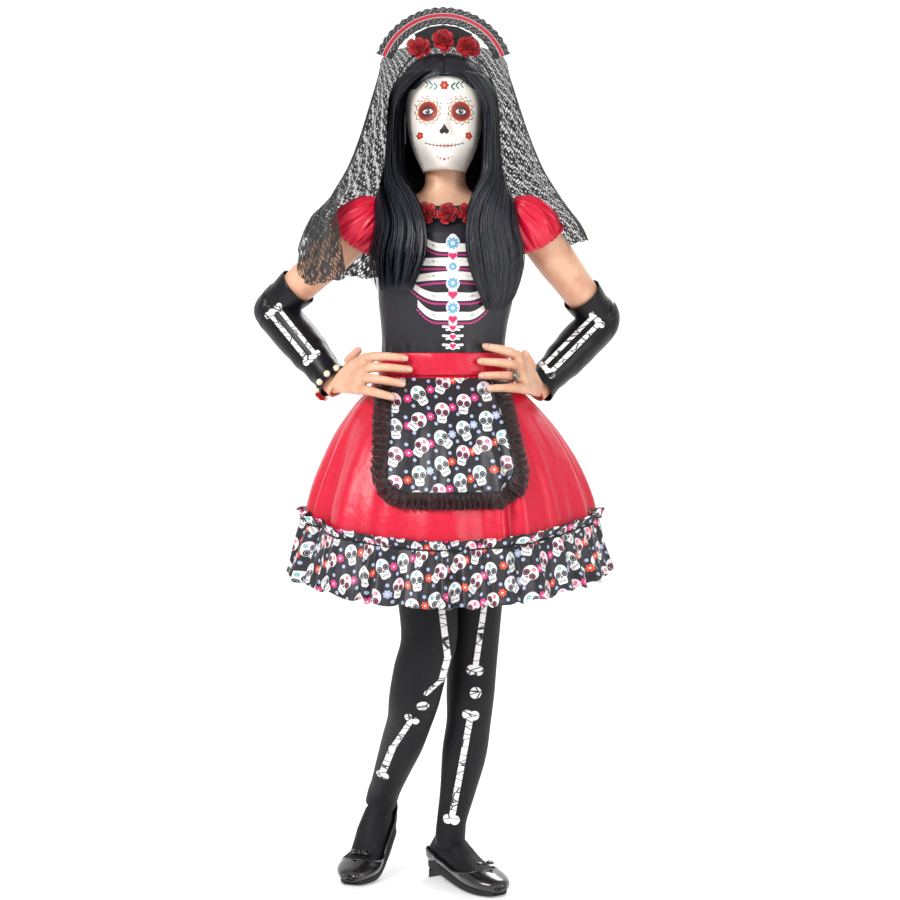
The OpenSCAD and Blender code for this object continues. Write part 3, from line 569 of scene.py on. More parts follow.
def rib_cloth():
    """Black stretch satin printed with a rib cage: white ribs edged in magenta, blue flowers, pink hearts."""
    mat, tree, shader = material("printed stretch satin, ribs")
    x, y, z = place_mm(tree)
    here = point(x, y, z)
    dx = x - 5
    ax = abs(dx)
    front = ink(y + 12, 6)
    bands, scallops, sprigs = [], [], []
    for height, reach, sag, straight, lift in (
        (1157, 62, 0, 18, 0.012), (1130, 74, 0.0, 0, 0), (1106, 84, 0.0012, 0, 0),
        (1071, 84, 0, 26, 0.0100), (1037, 62, 0, 26, 0.0175),
    ):
        if lift:
            bend = most(ax - straight, 0.0)
            middle = height - 2 + bend * bend * lift
        else:
            middle = height - ax * ax * sag
        across = (z - middle) * 0.8
        band = most(abs(across) - 6.2 + ax * 0.02, ax - reach)
        bands.append(band)
        wave = abs(work("SINE", ax * 0.62)) * 2.4
        scallops.append(most(abs(across + 8.6 + wave) - 0.95, ax - reach - 2))
        sprigs.append(least(away(ax, across, 34, 0.6) - 2.0,
            most(abs(across - 0.4 + work("SINE", ax * 0.5) * 1.1) - 0.4, abs(ax - 34) - 12)))
    spine = least(
        stroke(dx, z, 0, 1172, 0, 1022, 7.4),
        *(away(dx, z, 0, h) - 12.0 for h in (1165, 1122, 1092, 1050)),
    )
    spine = most(spine, (1016 - z) + ax * 0.9 - 2)
    joints = []
    for h in (1014, 998, 982):
        joints.append(least(away(dx, z, 0, h) - 6.6, stroke(ax, z, 5, h + 1.5, 17, h + 2.4, 2.2),
            stroke(ax, z, 5, h - 2.3, 11, h - 3.4, 1.8)))
    blooms = [(1163, 11.0), (1122, 7.5), (1093, 10.0), (1049, 10.0)]
    hearts = [(1140, 8.0), (1072, 9.0), (1029, 8.5), (1014, 6.2), (998, 6.2), (982, 6.2)]
    fade = ramp(grain(here, 17, 3), 0.5, 2.0)
    base = tint(
        "15131c",
        (fade, "262233"),
        (ink(least(*scallops)) * front, "d9308a"),
        (ink(least(*bands)) * front, "f0eae4"),
        (ink(least(*sprigs)) * front * 0.8, "8f9b8c"),
        (ink(least(spine, *joints)) * front, "f2ecec"),
        (line(spine + 1.6, 0.35) * front * 0.6, "d989b4"),
        (ink(least(*(flower(dx, z, 0, h, r * 0.72, 9) for h, r in blooms))) * front, "6fa9cc"),
        (ink(least(*(away(dx, z, 0, h) - r * 0.34 for h, r in blooms))) * front, "cfe3d0"),
        (ink(least(*(heart(dx, z, 0, h, s) for h, s in hearts))) * front, "d6246c"),
    )
    crease = grain(point(x, y, z * 0.55), 30, 4, 0.5)
    knit = work("SINE", x * 4.2) * work("SINE", z * 4.2)
    feed(shader, Base_Color=base, Roughness=0.4, Normal=dent(crease * 2.6 + knit * 0.02, 1.0, 0.6))
    feed(shader, Sheen_Weight=0.08)
    return mat


def bone(x, z, ax, az, bx, bz, r, knob):
    """Distance from a long bone with two knobs at each end."""
    way = Vector((bx - ax, bz - az)).normalized()
    nx, nz = -way.y, way.x
    ends = []
    for px, pz, s in ((ax, az, -1), (bx, bz, 1)):
        for t in (-1, 1):
            cx = px + way.x * s * knob * 0.2 + nx * t * knob * 0.72
            cz = pz + way.y * s * knob * 0.2 + nz * t * knob * 0.72
            ends.append(away(x, z, cx, cz) - knob)
    return least(stroke(x, z, ax, az, bx, bz, r), *ends)


def bone_cloth(name, bones, reach, rough, thread):
    """Black stretch fabric with white bones printed on it, crossed by fine black cracks."""
    mat, tree, shader = material(name)
    x, y, z = place_mm(tree)
    here = point(x, z)
    shape = least(*(bones(x, z)))
    cells = add(tree, "TexVoronoi", dict(feature="DISTANCE_TO_EDGE"),
                {"Vector": point(x * 0.4, z), "Scale": 1 / 13})
    crack = Field(cells.outputs["Distance"])
    show = ink(shape + (grain(here, 5, 2) - 0.5) * 1.2) * ink(y - reach(x, z), 10)
    knit = work("SINE", x * thread) * work("SINE", z * thread)
    soft = grain(point(x, y, z), 24, 3)
    base = tint(
        "09080d",
        (ramp(soft, 0.5, 0.7), "1c1520"),
        (show, "f0efef"),
        (show * ink(crack * 13 - 0.5, 0.5), "101014"),
    )
    feed(shader, Base_Color=base, Roughness=rough, Normal=dent(knit * 0.03 + soft * 1.6, 1.0, 0.5))
    feed(shader, Sheen_Weight=0.02, Specular_IOR_Level=0.3)
    return mat


def leg_front(x, z):
    """How far back, in mm, the print on the legs reaches: to the middle of each leg, wherever it stands."""
    left = most(300 - z, 0.0) * 0.08 + 12
    right = most(352 - z, 0.0) * 0.76 - 50
    return left + (right - left) * work("LESS_THAN", x, 4.0)


def leg_bones(x, z):
    return [
        stroke(x, z, -17, 540, -4, 432, 5.6), stroke(x, z, -4, 432, -14, 392, 6.2),
        stroke(x, z, -14, 392, -42, 370, 4.2),
        away((x + 48) * 0.72, z, 0, 347) - 8.0,
        away(x, z, -74, 326) - 6.6, away(x, z, -61, 318) - 6.6, stroke(x, z, -70, 318, -104, 258, 4.8),
        stroke(x, z, -104, 258, -123, 204, 6.0), away(x, z, -129, 199) - 6.4, away(x, z, -118, 196) - 6.4,
        bone(x, z, 65, 540, 45, 403, 5.2, 9.0),
        away(x, z, 46, 361) - 10.5,
        bone(x, z, 37, 318, 3, 124, 5.6, 9.0),
    ]


def arm_front(_, z):
    """How far back, in mm, the print on the forearms reaches."""
    return (z - 910) * 0.67 + 22


def arm_bones(x, z):
    return [
        bone(x, z, -328, 1040, -257, 957, 4.2, 6.4), bone(x, z, -314, 1052, -243, 968, 3.4, 5.4),
        bone(x, z, 274, 1024, 182, 934, 4.2, 6.4), bone(x, z, 262, 1036, 170, 947, 3.4, 5.4),
    ]


def lace(name, net, pitch, bloom, cover):
    """Raschel lace: fine black yarn, an open net with dense flowers worked into it; the holes are see-through.

    The net is drawn about twice as coarse as the real one, so that it shows.
    """
    mat, tree, shader = material(name)
    across, down, _ = place_mm(tree, "UV")
    u, v = across * 0.81 + down * 0.59, down * 0.81 - across * 0.59
    where = point(u, v)
    bend = (grain(where, pitch * 1.3, 2) - 0.5) * pitch * 0.5
    sway = (grain(point(v, u), pitch * 1.3, 2) - 0.5) * pitch * 0.5
    row = work("FLOOR", v / pitch)
    us = u + work("FLOORED_MODULO", row, 2.0) * (pitch / 2)
    col = work("FLOOR", us / pitch)
    fx, fy = us - (col + 0.5) * pitch + bend, v - (row + 0.5) * pitch + sway
    petals = flower(fx, fy, 0, 0, bloom, 5)
    eye = away(fx, fy) - bloom * 0.3
    sprig = least(
        stroke(abs(fx), abs(fy), bloom * 0.9, bloom * 0.6, pitch * 0.40, pitch * 0.38, bloom * 0.26),
        away(abs(fx), fy, pitch * 0.44, 0) - bloom * 0.46,
        away(abs(fx), abs(fy), pitch * 0.42, pitch * 0.34) - bloom * 0.45,
    )
    motif = most(least(petals, sprig), eye * -1)
    k = 2 * pi / net
    one, two = (u + v * 0.58) + bend * 0.4, (u - v * 0.58) + sway * 0.4
    strand = most(abs(work("SINE", one * k * 0.5)), abs(work("SINE", two * k * 0.5)))
    mesh = ink(cover - strand, 0.12)
    shape = most(mesh * 0.85, ink(motif, 0.9) * 0.97)
    yarn = grain(where, 0.8, 2)
    base = tint("08080a", (ramp(yarn, 0.5, 0.6), "1d1d22"))
    feed(shader, Base_Color=base, Roughness=0.55, Alpha=shape, Normal=dent(yarn + shape, 0.3, 0.4))
    feed(shader, Sheen_Weight=0.1)
    return mat


def hair_fibre():
    """Kanekalon wig fibre: near-black, with a cool sheen painted into the colour as lighter blue streaks that
    break up from strand to strand.
    """
    mat, tree, shader = material("synthetic wig fibre, black")
    x, y, z = place_mm(tree)
    painted_sheen_streaks = grain(point(x, y, z * 0.03), 1.9, 3)
    # Painted highlight: lighter blue-grey streaks stand in for the fibre's sheen.
    base = tint("080912", (ramp(painted_sheen_streaks, 0.48, 2.6), "2b3048"))
    feed(shader, Base_Color=base, Roughness=work("ADD", painted_sheen_streaks * 0.3, 0.24), Normal=dent(painted_sheen_streaks, 0.8, 0.8))
    feed(shader, Specular_IOR_Level=0.55)
    return mat


def patent():
    """Patent leather: a hard clear coat over black, with faint creases where it flexes."""
    mat, tree, shader = material("patent leather, black")
    x, y, z = place_mm(tree)
    here = point(x, y, z)
    crease = grain(here, 14, 4, 0.5)
    base = tint("08080a", (ramp(crease, 0.55, 1.0), "15151a"))
    feed(shader, Base_Color=base, Roughness=0.3, Normal=dent(crease, 0.8, 0.4))
    feed(shader, Coat_Weight=0.8, Coat_Roughness=0.08)
    return mat


def rubber():
    """Moulded rubber: dull, slightly scuffed."""
    mat, tree, shader = material("moulded rubber, black")
    here = point(*place_mm(tree))
    scuff = grain(here, 4, 5, 0.7)
    base = tint("16161a", (ramp(scuff, 0.5, 1.5), "2f2e30"))
    feed(shader, Base_Color=base, Roughness=0.75, Normal=dent(scuff, 0.3, 0.5))
    return mat


def velvet(name, deep, bright, edge):
    """Velvet petals, with light and shade painted into the colour: noise mixes a deep red, as painted shade in
    the folds, with a bright red, as painted highlight where the pile turns to the light; dark at the cut lip.
    """
    mat, tree, shader = material(name)
    _, v, _ = place_mm(tree, "UV")
    x, y, z = place_mm(tree)
    nap_and_painted_light = grain(point(x, y, z), 3.5, 4)
    # Painted light and shade: noise patches of bright red over the deep red stand in for light on the pile and
    # shade in its folds.
    base = tint(
        deep,
        (ramp(nap_and_painted_light, 0.38, 2.6), bright),
        (ink(0.93 - v, 0.06), edge),
    )
    feed(shader, Base_Color=base, Roughness=0.5, Normal=dent(nap_and_painted_light, 0.8, 0.7))
    feed(shader, Sheen_Weight=0.5, Sheen_Roughness=0.35, Sheen_Tint=hexed("ff9a9a"))
    return mat


def ribbon():
    """Red grosgrain ribbon with a pale picot edge woven in along both sides."""
    mat, tree, shader = material("grosgrain ribbon, red with pale edges")
    u, v, _ = place_mm(tree, "UV")
    rib = work("SINE", u * 4.4)
    edge = abs(v - 5)
    base = tint(
        "b00d2b",
        # Painted highlight: the lighter red on one half of each rib stands in for light along the rib crests.
        (work("MULTIPLY", rib, 0.22, clamp=True), "d0304c"),
        (ink(3.1 - edge), "d9cfd0"),
        (ink(abs(work("FRACT", u / 3.2) - 0.5) * 3.2 - 0.7) * ink(3.7 - edge), "22151a"),
    )
    feed(shader, Base_Color=base, Roughness=0.5, Normal=dent(rib, 0.25, 0.6))
    return mat


def plain(name, low_colour, high_colour, lump, rough, metal=0.0, coat=0.0, stretch=(1, 1, 1)):
    """A hard or raw material with a grain of its own size, stretched along the way it grew or was drawn."""
    mat, tree, shader = material(name)
    x, y, z = place_mm(tree)
    g = grain(point(x * stretch[0], y * stretch[1], z * stretch[2]), lump, 5, 0.6)
    base = tint(low_colour, (ramp(g, 0.35, 2.2), high_colour))
    feed(shader, Base_Color=base, Roughness=work("ADD", g * 0.2, rough - 0.1), Normal=dent(g, 0.3, 0.4))
    feed(shader, Metallic=metal, Coat_Weight=coat)
    return mat


SKIN = papier_mache("papier-mache, skin paint and wax", "e3b394", "cf9678")
FACE = painted_face()
RED_SATIN = satin("polyester satin, crimson", "da0b35", "a20328")
PRINT = skull_cloth()
RIBS = rib_cloth()
LEGS = bone_cloth("opaque tights, printed bones", leg_bones, leg_front, 0.62, 5.0)
GAUNTLET = bone_cloth("stretch satin, printed arm bones", arm_bones, arm_front, 0.36, 5.0)
VEIL_LACE = lace("raschel lace, veil", 5.6, 25.0, 6.6, 0.83)
TRIM_LACE = lace("raschel lace, edging", 4.6, 13.0, 3.4, 0.9)
COMB_LACE = lace("raschel lace, comb", 3.0, 6.4, 2.1, 0.86)
HAIR = hair_fibre()
PATENT = patent()
RUBBER = rubber()
ROSE = velvet("velvet rose, dark red with black lip", "a80418", "f0182c", "1a0307")
CHARM = plain("moulded acrylic, red", "b80d12", "dd2a22", 6, 0.3, coat=0.5)
RIBBON = ribbon()
PINE = plain("planed pine", "b58552", "d9b27c", 3, 0.6, stretch=(1, 1, 0.08))
STEEL = plain("drawn mild steel", "8d8f92", "b9bbbe", 1.5, 0.35, metal=1.0, stretch=(1, 1, 0.05))
SILVER = plain("silver plate, darkened in the lows", "4c4843", "d8d4cc", 2.2, 0.28, metal=1.0)
PLASTIC = plain("moulded plastic, black", "09090b", "141418", 8, 0.35, coat=0.2)
PEARL = plain("pearl-coated beads, cream", "e8dcbc", "f6eed8", 9, 0.25, coat=0.4)
CORD = plain("elastic cord, black", "0a0a0c", "232326", 0.8, 0.8)
NAIL = plain("varnished nail paint", "e0a892", "efc3b0", 5, 0.3, coat=0.5)

# ---- CAD pieces that are shown as they are, with their own finishes ----

for finish, names in (
    (STEEL, ("spine_post", "leg_rod_left", "leg_rod_right", "arm_wire_left", "arm_wire_right")),
    (PINE, ("hip_block", "shoulder_bar", "shoulder_peg_left", "shoulder_peg_right", "arm_plug_left",
            "arm_plug_right")),
    (PATENT, ("shoe_heel_left", "shoe_heel_right")),
    (PLASTIC, ("headband", "comb_stay")),
    (CORD, ("bracelet_cord",)),
    (PEARL, ("bracelet_beads",)),
    (SILVER, ("ring_band",)),
):
    for name in names:
        mesh = bpy.data.objects[name].data
        mesh.materials.clear()
        mesh.materials.append(finish)

# ---- torso, head and face ----


def torso_point(angle, z, grow=0.0):
    _, cx, a, b = level(TORSO, z)
    return cx + (a + grow) * cos(angle), BODY_Y + (b + grow) * sin(angle)


def torso_skin(u, v):
    z = mix(802, 1311.9, v)
    x, y = torso_point(2 * pi * u, z)
    neck = smooth((z - 1250) / 30) * hump(z - 1275, 26)
    cord = hump(x + 9 - 20, 9) + hump(x + 9 + 20, 9)
    y -= 2.2 * neck * cord * (y < BODY_Y)
    return at(x, y, z)


piece("torso", surface(96, 130, torso_skin), "figure", SKIN, ["torso_shell"], wall=4, side=-1)


def features(dx, z):
    """How far the face stands forward of the plain head: eyes half way up, even thirds below."""
    ax = abs(dx)
    fall = smooth((1409 - z) / 47) if z > 1360 else smooth((z - 1348) / 11)
    nose = 16.5 * fall * hump(dx, 6.2 + 4.2 * smooth((1400 - z) / 40))
    wings = 5.0 * hump(ax - 9, 4.5) * hump(z - 1356.5, 5)
    socket = -6.0 * hump(ax - 28, 15) * hump(z - 1394, 11)
    ball = 5.6 * hump(ax - 29, 9.5) * hump(z - 1393, 6.8)
    brow = 3.2 * hump(ax - 26, 20) * hump(z - 1411, 7)
    cheek = 3.4 * hump(ax - 41, 16) * hump(z - 1364, 15)
    muzzle = 4.0 * hump(dx, 22) * hump(z - 1333, 15)
    lips = 2.6 * hump(dx, 15) * hump(z - 1336.4, 3.4) + 3.2 * hump(dx, 13) * hump(z - 1327.6, 3.8)
    seam = -2.4 * hump(dx, 17) * hump(z - 1332, 1.5)
    chin = 5.5 * hump(dx, 16) * hump(z - 1307, 9) - 2.0 * hump(dx, 14) * hump(z - 1319, 4)
    groove = -1.2 * hump(dx, 2.6) * hump(z - 1343, 4)
    return nose + wings + socket + ball + brow + cheek + muzzle + lips + seam + chin + groove


def head_skin(u, v):
    z, cx, cy, a, b = along(HEAD, v)
    angle = 2 * pi * u + pi / 2
    x, y = a * cos(angle), b * sin(angle)
    front = smooth((-sin(angle) - 0.25) / 0.5)
    jaw = smooth((1345 - z) / 48) * smooth((-sin(angle)) / 0.8)
    x *= 1 - 0.30 * jaw
    y -= features(x, z) * front * smooth(v * 8)
    return at(cx + x, cy + y, z)


piece("head", surface(230, 210, head_skin), "head", FACE, ["head_shell"], wall=3, side=-1)
low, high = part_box("head_plug")
plug_low, plug_high = (low.z - SHIFT.z) / MM, (high.z - SHIFT.z) / MM


def plug(u, v):
    """The plug in the neck opening: a turned disc, a little inside the paper all round."""
    turn = 2 * pi * u
    out = min(4 * v, 1, 4 * (1 - v))
    z = mix(plug_low, plug_high, min(max((v - 0.25) * 2, 0), 1))
    return at(-10 + 40 * out * cos(turn), 4 + 62 * out * sin(turn), z)


piece("head_plug_disc", surface(48, 24, plug), "head", PINE, ["head_plug"], outward=True)
for side in (-1, 1):
    def ear(u, v, side=side):
        angle, r = 2 * pi * u, v
        lobe = sqrt(max(1 - r * r, 0))
        x = side * (70 + 6 * lobe - 3.5 * hump(r - 0.45, 0.22))
        return at(-10 + x, 22 + 15 * r * cos(angle) * (1 + 0.15 * sin(angle)), 1374 + 29 * r * sin(angle))

    piece("ear_" + ("left" if side > 0 else "right"), surface(32, 14, ear), "head", FACE,
          wall=2)

# ---- arms and hands ----


def arm_rows(side):
    s, e, w = SHOULDER[side], ELBOW[side], WRIST[side]
    d, f = UPPER_ARM[side], FOREARM[side]
    bend = (d + f).normalized()
    reach, length = (e - s).length, (w - e).length
    rows = [(s + q * d, r, r) for q, r in ((4, 20), (10, 28), (20, 34.5), (34, 36.5), (90, 36.5), (130, 34))]
    rows += [(s + (reach - 42) * d, 31.5, 31.5), (e - 16 * d - 2 * bend, 32, 32), (e, 32, 31),
             (e + 20 * f + 2 * bend, 33, 32)]
    rows += [(e + q * length * f, a, b) for q, a, b in ((0.32, 34, 33), (0.6, 31, 30), (0.85, 25, 23),
        (1, 23, 21), (1.06, 22, 20))]
    return [(*c, a, b) for c, a, b in rows]


for side in ("left", "right"):
    rows = arm_rows(side)
    body = "arm_" + side
    skin = surface(48, 110, lambda u, v: at(*around(rows, v, 2 * pi * u)))
    piece("arm_skin_" + side, skin, body, SKIN, ["arm_" + side], wall=4, side=-1)
    hand = copied("hand_" + side, 1.7, 7, 0.5)
    piece("hand_skin_" + side, hand, body, SKIN, ["hand_" + side], weld=False)
    nails = bmesh.new()
    for k, (a, b, c) in enumerate(FINGERS[side]):
        a, b, c = Vector(a), Vector(b), Vector(c)
        way = (c - b).normalized()
        palm = Vector((-10, BODY_Y, c.z)) - c if k < 4 else Vector((0, 60, 0))
        back = -(palm - palm.dot(way) * way).normalized()
        wide = way.cross(back)

        def nail(u, v, c=c, way=way, back=back, wide=wide, r=6.6 if k < 4 else 7.4):
            turn = mix(-0.85, 0.85, u)
            tip = 1 - 0.35 * (2 * abs(u - 0.5)) ** 2.5 * (v > 0.5)
            p = c + way * (mix(-7.5, 4.6, v) * tip) + back * (r * cos(turn)
                - 0.5 * v) + wide * (r * 0.92 * sin(turn))
            return at(*p)

        surface(8, 8, nail, bm=nails)
    piece("nails_" + side, nails, body, NAIL, wall=0.7)

    def gauntlet(u, v, rows=rows):
        t = mix(0.40, 0.925, v)
        turn = 2 * pi * u
        ruck = hump(v - 0.28, 0.14) + 0.6 * hump(v - 0.8, 0.16)
        fold = ripple(cos(turn) * 1.3, sin(turn) * 1.3, v * 17) * 3.4 * ruck + ripple(cos(turn), sin(turn),
            v * 6) * 1.5
        flare = 5.0 * smooth((v - 0.86) / 0.14) + 1.6 * smooth((0.08 - v) / 0.08)
        return at(*around(rows, t, turn, 3.8 + fold + flare))

    sleeve = piece("gauntlet_cloth_" + side, surface(84, 120, gauntlet, (232, 222)), body,
                   GAUNTLET,
                   ["gauntlet_" + side], wall=1.2)
    cloth(sleeve)

# ---- legs, feet and shoes ----

for side in ("left", "right"):
    rows = LEG[side]
    knee = 350 if side == "left" else 356

    def tights(u, v, rows=rows, knee=knee):
        turn = 2 * pi * u
        p = around(rows, v, turn, 2.0)
        front = max(sin(turn), 0) ** 2
        cap = 2.2 * front * hump(p.z - knee, 17) - 1.2 * front * hump(p.z - knee + 30, 12)
        sag = 0.9 * ripple(cos(turn) * 2, sin(turn) * 2,
            p.z * 0.05) * (hump(p.z - knee, 40) + hump(p.z - 120, 40))
        p.y -= cap + sag
        return at(*p)

    nodes = ["leg_" + side] + (["tights"] if side == "left" else [])
    leg = piece("tights_leg_" + side, surface(56, 180, tights, (250, 720)), "figure", LEGS,
                nodes,
                wall=1.0)
    cloth(leg)
    foot = copied("foot_" + side, 2.2, 8, 0.6)
    piece("tights_foot_" + side, foot, "figure", LEGS, ["foot_" + side], weld=False)

    stations = SHOE[side]

    def upper(u, v, rows=stations):
        gap = radians(max(along(rows, v)[5] - 5, 0))
        turn = mix(radians(270) - gap, gap - radians(90), u)
        return at(*around([r[:5] for r in rows], v, turn, 2.2, (0, 0, 1)))

    piece("shoe_" + side, surface(64, 90, lambda u, v: upper(1 - u, v)), "figure", PATENT,
          ["shoe_upper_" + side], wall=2.0)

    def sole(u, v, rows=stations):
        """A rubber sole that hugs the upper: closed at both ends, 9 mm deep below it."""
        *here, a, b = along([r[:5] for r in rows], mix(0.03, 0.99, v))
        turn = 2 * pi * u
        c, d = cos(turn), sin(turn)
        close = 1 - 0.9 * (hump(v, 0.012) + hump(1 - v, 0.012))
        low, high = b + 8.5, 0.55 * b
        middle = Vector(here)
        if side == "left":
            low = max(low, min(middle.z - 14, 46) * smooth((0.5 - v) / 0.12))
        way = Vector(along(rows, min(v + 0.02, 1))[:3]) - Vector(along(rows, max(v - 0.02, 0))[:3])
        out = way.normalized().cross(Vector((0, 0, 1))).normalized()
        under = way.normalized().cross(out)
        wide = 0.93 * a * close * (abs(c) ** 0.55) * (1 if c > 0 else -1)
        deep = (low + high) / 2 + (low - high) / 2 * close * (abs(d) ** 0.4) * (1 if d > 0 else -1)
        p = middle + wide * out + deep * under
        p.z = max(p.z, 0.3)
        return at(*p)

    piece("shoe_sole_" + side + "_rubber", surface(36, 70, sole), "figure", RUBBER,
          ["shoe_sole_" + side], outward=True)

    def binding(u, v, rows=stations):
        """A round binding along the shoe's top line: down one side, across the throat and back."""
        def lip(t):
            s = abs(2 * t - 1)
            station = 0.06 + 0.68 * (1 - s)
            gap = radians(max(along(rows, station)[5], 2.0))
            if station > 0.735:
                gap *= 0.5
            turn = radians(270) - gap if t < 0.5 else gap - radians(90)
            return around([r[:5] for r in rows], station, turn, 2.6, (0, 0, 1))

        here = lip(v)
        way = (lip(min(v + 0.01, 1)) - lip(max(v - 0.01, 0))).normalized()
        a = way.cross(Vector((0.1, 0.2, 1))).normalized()
        b = way.cross(a)
        return at(*(here + 1.5 * cos(2 * pi * u) * a + 1.5 * sin(2 * pi * u) * b))

    piece("shoe_binding_" + side, surface(10, 150, binding), "figure", PATENT, outward=True)

for side, where, turn, tilt in (("left", (62, -44, 51.5), 36, 17), ("right", (-166, 34, 52.5), -18, 25)):
    bow = bmesh.new()
    set_up = Matrix.Rotation(radians(turn), 3, "Z") @ Matrix.Rotation(radians(tilt), 3, "X")
    for lobe in (-1, 1):
        def loop(u, v, lobe=lobe):
            turn = 2 * pi * u
            wide = 4.2 + 3.6 * sin(pi * v) ** 0.7
            out = lobe * (2 + 17 * v)
            high = 3.2 * sin(pi * v) ** 0.6 * sin(turn)
            p = set_up @ Vector((out, wide * cos(turn) * (0.4 + 0.6 * v), high + 1.2))
            return at(*(Vector(where) + p))

        surface(18, 14, loop, bm=bow)

    def knot(u, v):
        turn, up = 2 * pi * u, pi * (v - 0.5)
        p = set_up @ Vector((3.6 * cos(up) * cos(turn), 5.2 * cos(up) * sin(turn), 3.4 * sin(up) + 1.6))
        return at(*(Vector(where) + p))

    surface(18, 12, knot, bm=bow)
    piece("shoe_knot_bow_" + side, bow, "figure", PATENT, ["shoe_bow_" + side], outward=True)

# ---- dress ----

# The skirt: the waist's height, the drop from it to the flounce's seam, the hem's centre, and how much less
# deep than wide the hem is
WAIST_Z = 929
SEAM_DROP = 254
HEM_X = -3
HEM_FLATTER = 16


def from_front(u):
    """The angle round the figure at u, from 0 to 1, starting and ending at the middle of the front."""
    return 2 * pi * u - pi / 2


def bodice(u, v):
    angle = from_front(u)
    front = max(-sin(angle), 0) ** 2
    z = mix(958, 1243 - 13 * front * front, v)
    x, y = torso_point(angle, z, 2.6)
    wave = 1.6 * ripple(cos(angle) * 2.2, sin(angle) * 2.2, z * 0.02) * smooth((z - 975) / 50)
    tuck = 1.1 * sin(angle * 26 + 2 * sin(angle * 3)) * hump(z - 972, 16)
    n = wave + tuck
    return at(x + n * cos(angle), y + n * sin(angle), z)


obj = piece("bodice_cloth", surface(170, 150, bodice), "figure", RIBS, ["bodice"], wall=1.0)
cloth(obj)


def waistband(u, v):
    angle = from_front(u)
    z = mix(930, 970, v)
    n = 2.2 + 1.5 * (1 - (2 * v - 1) ** 4) + 1.1 * ripple(cos(angle) * 3, sin(angle) * 3, v * 2.5)
    n += 0.8 * ripple(cos(angle) * 9, sin(angle) * 9, v * 1.2)
    return at(-12 + (114.5 + n) * cos(angle), BODY_Y + (86.5 + n) * sin(angle), z)


obj = piece("waistband_satin", surface(180, 22, waistband, (660, 40)), "figure", RED_SATIN,
            ["waistband"],
            wall=1.4)
cloth(obj)


def skirt_r(h):
    return 118 + 154 * (1 - exp(-((max(h, 0) / 118) ** 1.25)))


def skirt_deep(h):
    return 0.94 - 0.17 * exp(-max(h, 0) / 35)


def seam_h(angle):
    """How far below the waist the flounce's seam runs: lowest in front, highest at the sides."""
    return SEAM_DROP + (36 * max(-sin(angle), 0) ** 2 + 12 * max(sin(angle), 0) ** 2)


def on_hem(r, angle, z):
    return at(HEM_X + r * cos(angle), BODY_Y + (r - HEM_FLATTER) * sin(angle), z)


def folds(angle, h):
    """Soft satin folds that open towards the hem, and small gathers at the waist."""
    s = h / 260
    c, d = cos(angle), sin(angle)
    broad = ripple(c * 2.6 + 3, d * 2.6, s * 0.35) * 30
    ridge = (0.5 - abs(ripple(c * 4.4, d * 4.4 + 7, s * 0.4))) * 26 - 8
    fine = ripple(c * 9, d * 9, s * 0.9) * 8
    gathers = 1.3 * sin(angle * 64 + 3 * ripple(c * 6, d * 6)) * hump(h - 6, 26)
    pleat = sin(angle * 13 + 5 * ripple(c * 2, d * 2)) * (6 + 5 * ripple(c * 4, d * 4, 6))
    return ((broad + ridge + fine) * 0.62 + pleat - 4) * smooth(s * 1.3) - 7 * hump(h - 150, 75) + gathers


def on_skirt(angle, h, lift):
    cx = mix(-12, HEM_X, min(max(h, 0) / 150, 1))
    out = lift + folds(angle, max(h, 0))
    x = cx + (skirt_r(h) + out) * cos(angle)
    y = BODY_Y + (skirt_r(h) * skirt_deep(h) + out) * sin(angle)
    return Vector((x, y, WAIST_Z - h))


def skirt(u, v):
    angle = from_front(u)
    return at(*on_skirt(angle, mix(seam_h(angle), 0, v), -1))


obj = piece("skirt_satin", surface(300, 110, skirt, (1640, 290)), "figure", RED_SATIN, ["skirt"],
            wall=0.9)
cloth(obj)


def flounce(u, v):
    angle = from_front(u)
    s = 1 - v
    h = seam_h(angle)
    c, d = cos(angle), sin(angle)
    drift = ripple(c * 5, d * 5) * 2.2
    wave = sin(angle * 38 + drift * 2.6) * (1.8 + 7.5 * s) * (0.75 + 0.7 * ripple(c * 6, d * 6, 3))
    wave += ripple(c * 14, d * 14, s * 1.1) * (2.5 + 6.0 * s)
    carry = folds(angle, h) * (1 - 0.35 * s)
    r = 265 + 27 * s + wave + carry * 0.9
    z = WAIST_Z - h - 3 - 99 * s + 3.2 * s * sin(angle * 38 + drift * 2.6 + 1.2) - 4 * s * ripple(c * 5 + 4,
        d * 5)
    return on_hem(r, angle, z + 2)


obj = piece("flounce_print", surface(900, 30, flounce, (1980, 100)), "figure", PRINT,
            ["hem_flounce"],
            wall=0.8)
cloth(obj)


def heading(u, v):
    angle = from_front(u)
    c, d = cos(angle), sin(angle)
    h = seam_h(angle)
    drift = ripple(c * 9, d * 9) * 3
    frill = sin(angle * 88 + drift) * (0.7 + 3.6 * v) + ripple(c * 30, d * 30, v) * 2 * v
    r = 266.5 + 5 * v + frill + folds(angle, h) * 0.9
    return on_hem(r, angle, WAIST_Z - h - 5 + 17 * v + 1.2 * v * cos(angle * 88 + drift))


obj = piece("flounce_heading_frill", surface(1100, 7, heading, (1980, 18)), "figure", PRINT,
            ["flounce_heading"], wall=0.7)
cloth(obj)


def stitches(u, v):
    """The gathering thread that holds the flounce: a thin corded line round the seam."""
    angle, turn = from_front(v), 2 * pi * u
    h = seam_h(angle)
    r = 268.5 + folds(angle, h) * 0.9 + 1.3 * cos(turn) + sin(angle * 88) * 0.8
    return on_hem(r, angle, WAIST_Z - h - 4.5 + 1.3 * sin(turn))


piece("flounce_seam", surface(8, 700, stitches), "figure", CORD, outward=True)

APRON_DROP, CORNER = 196, 40


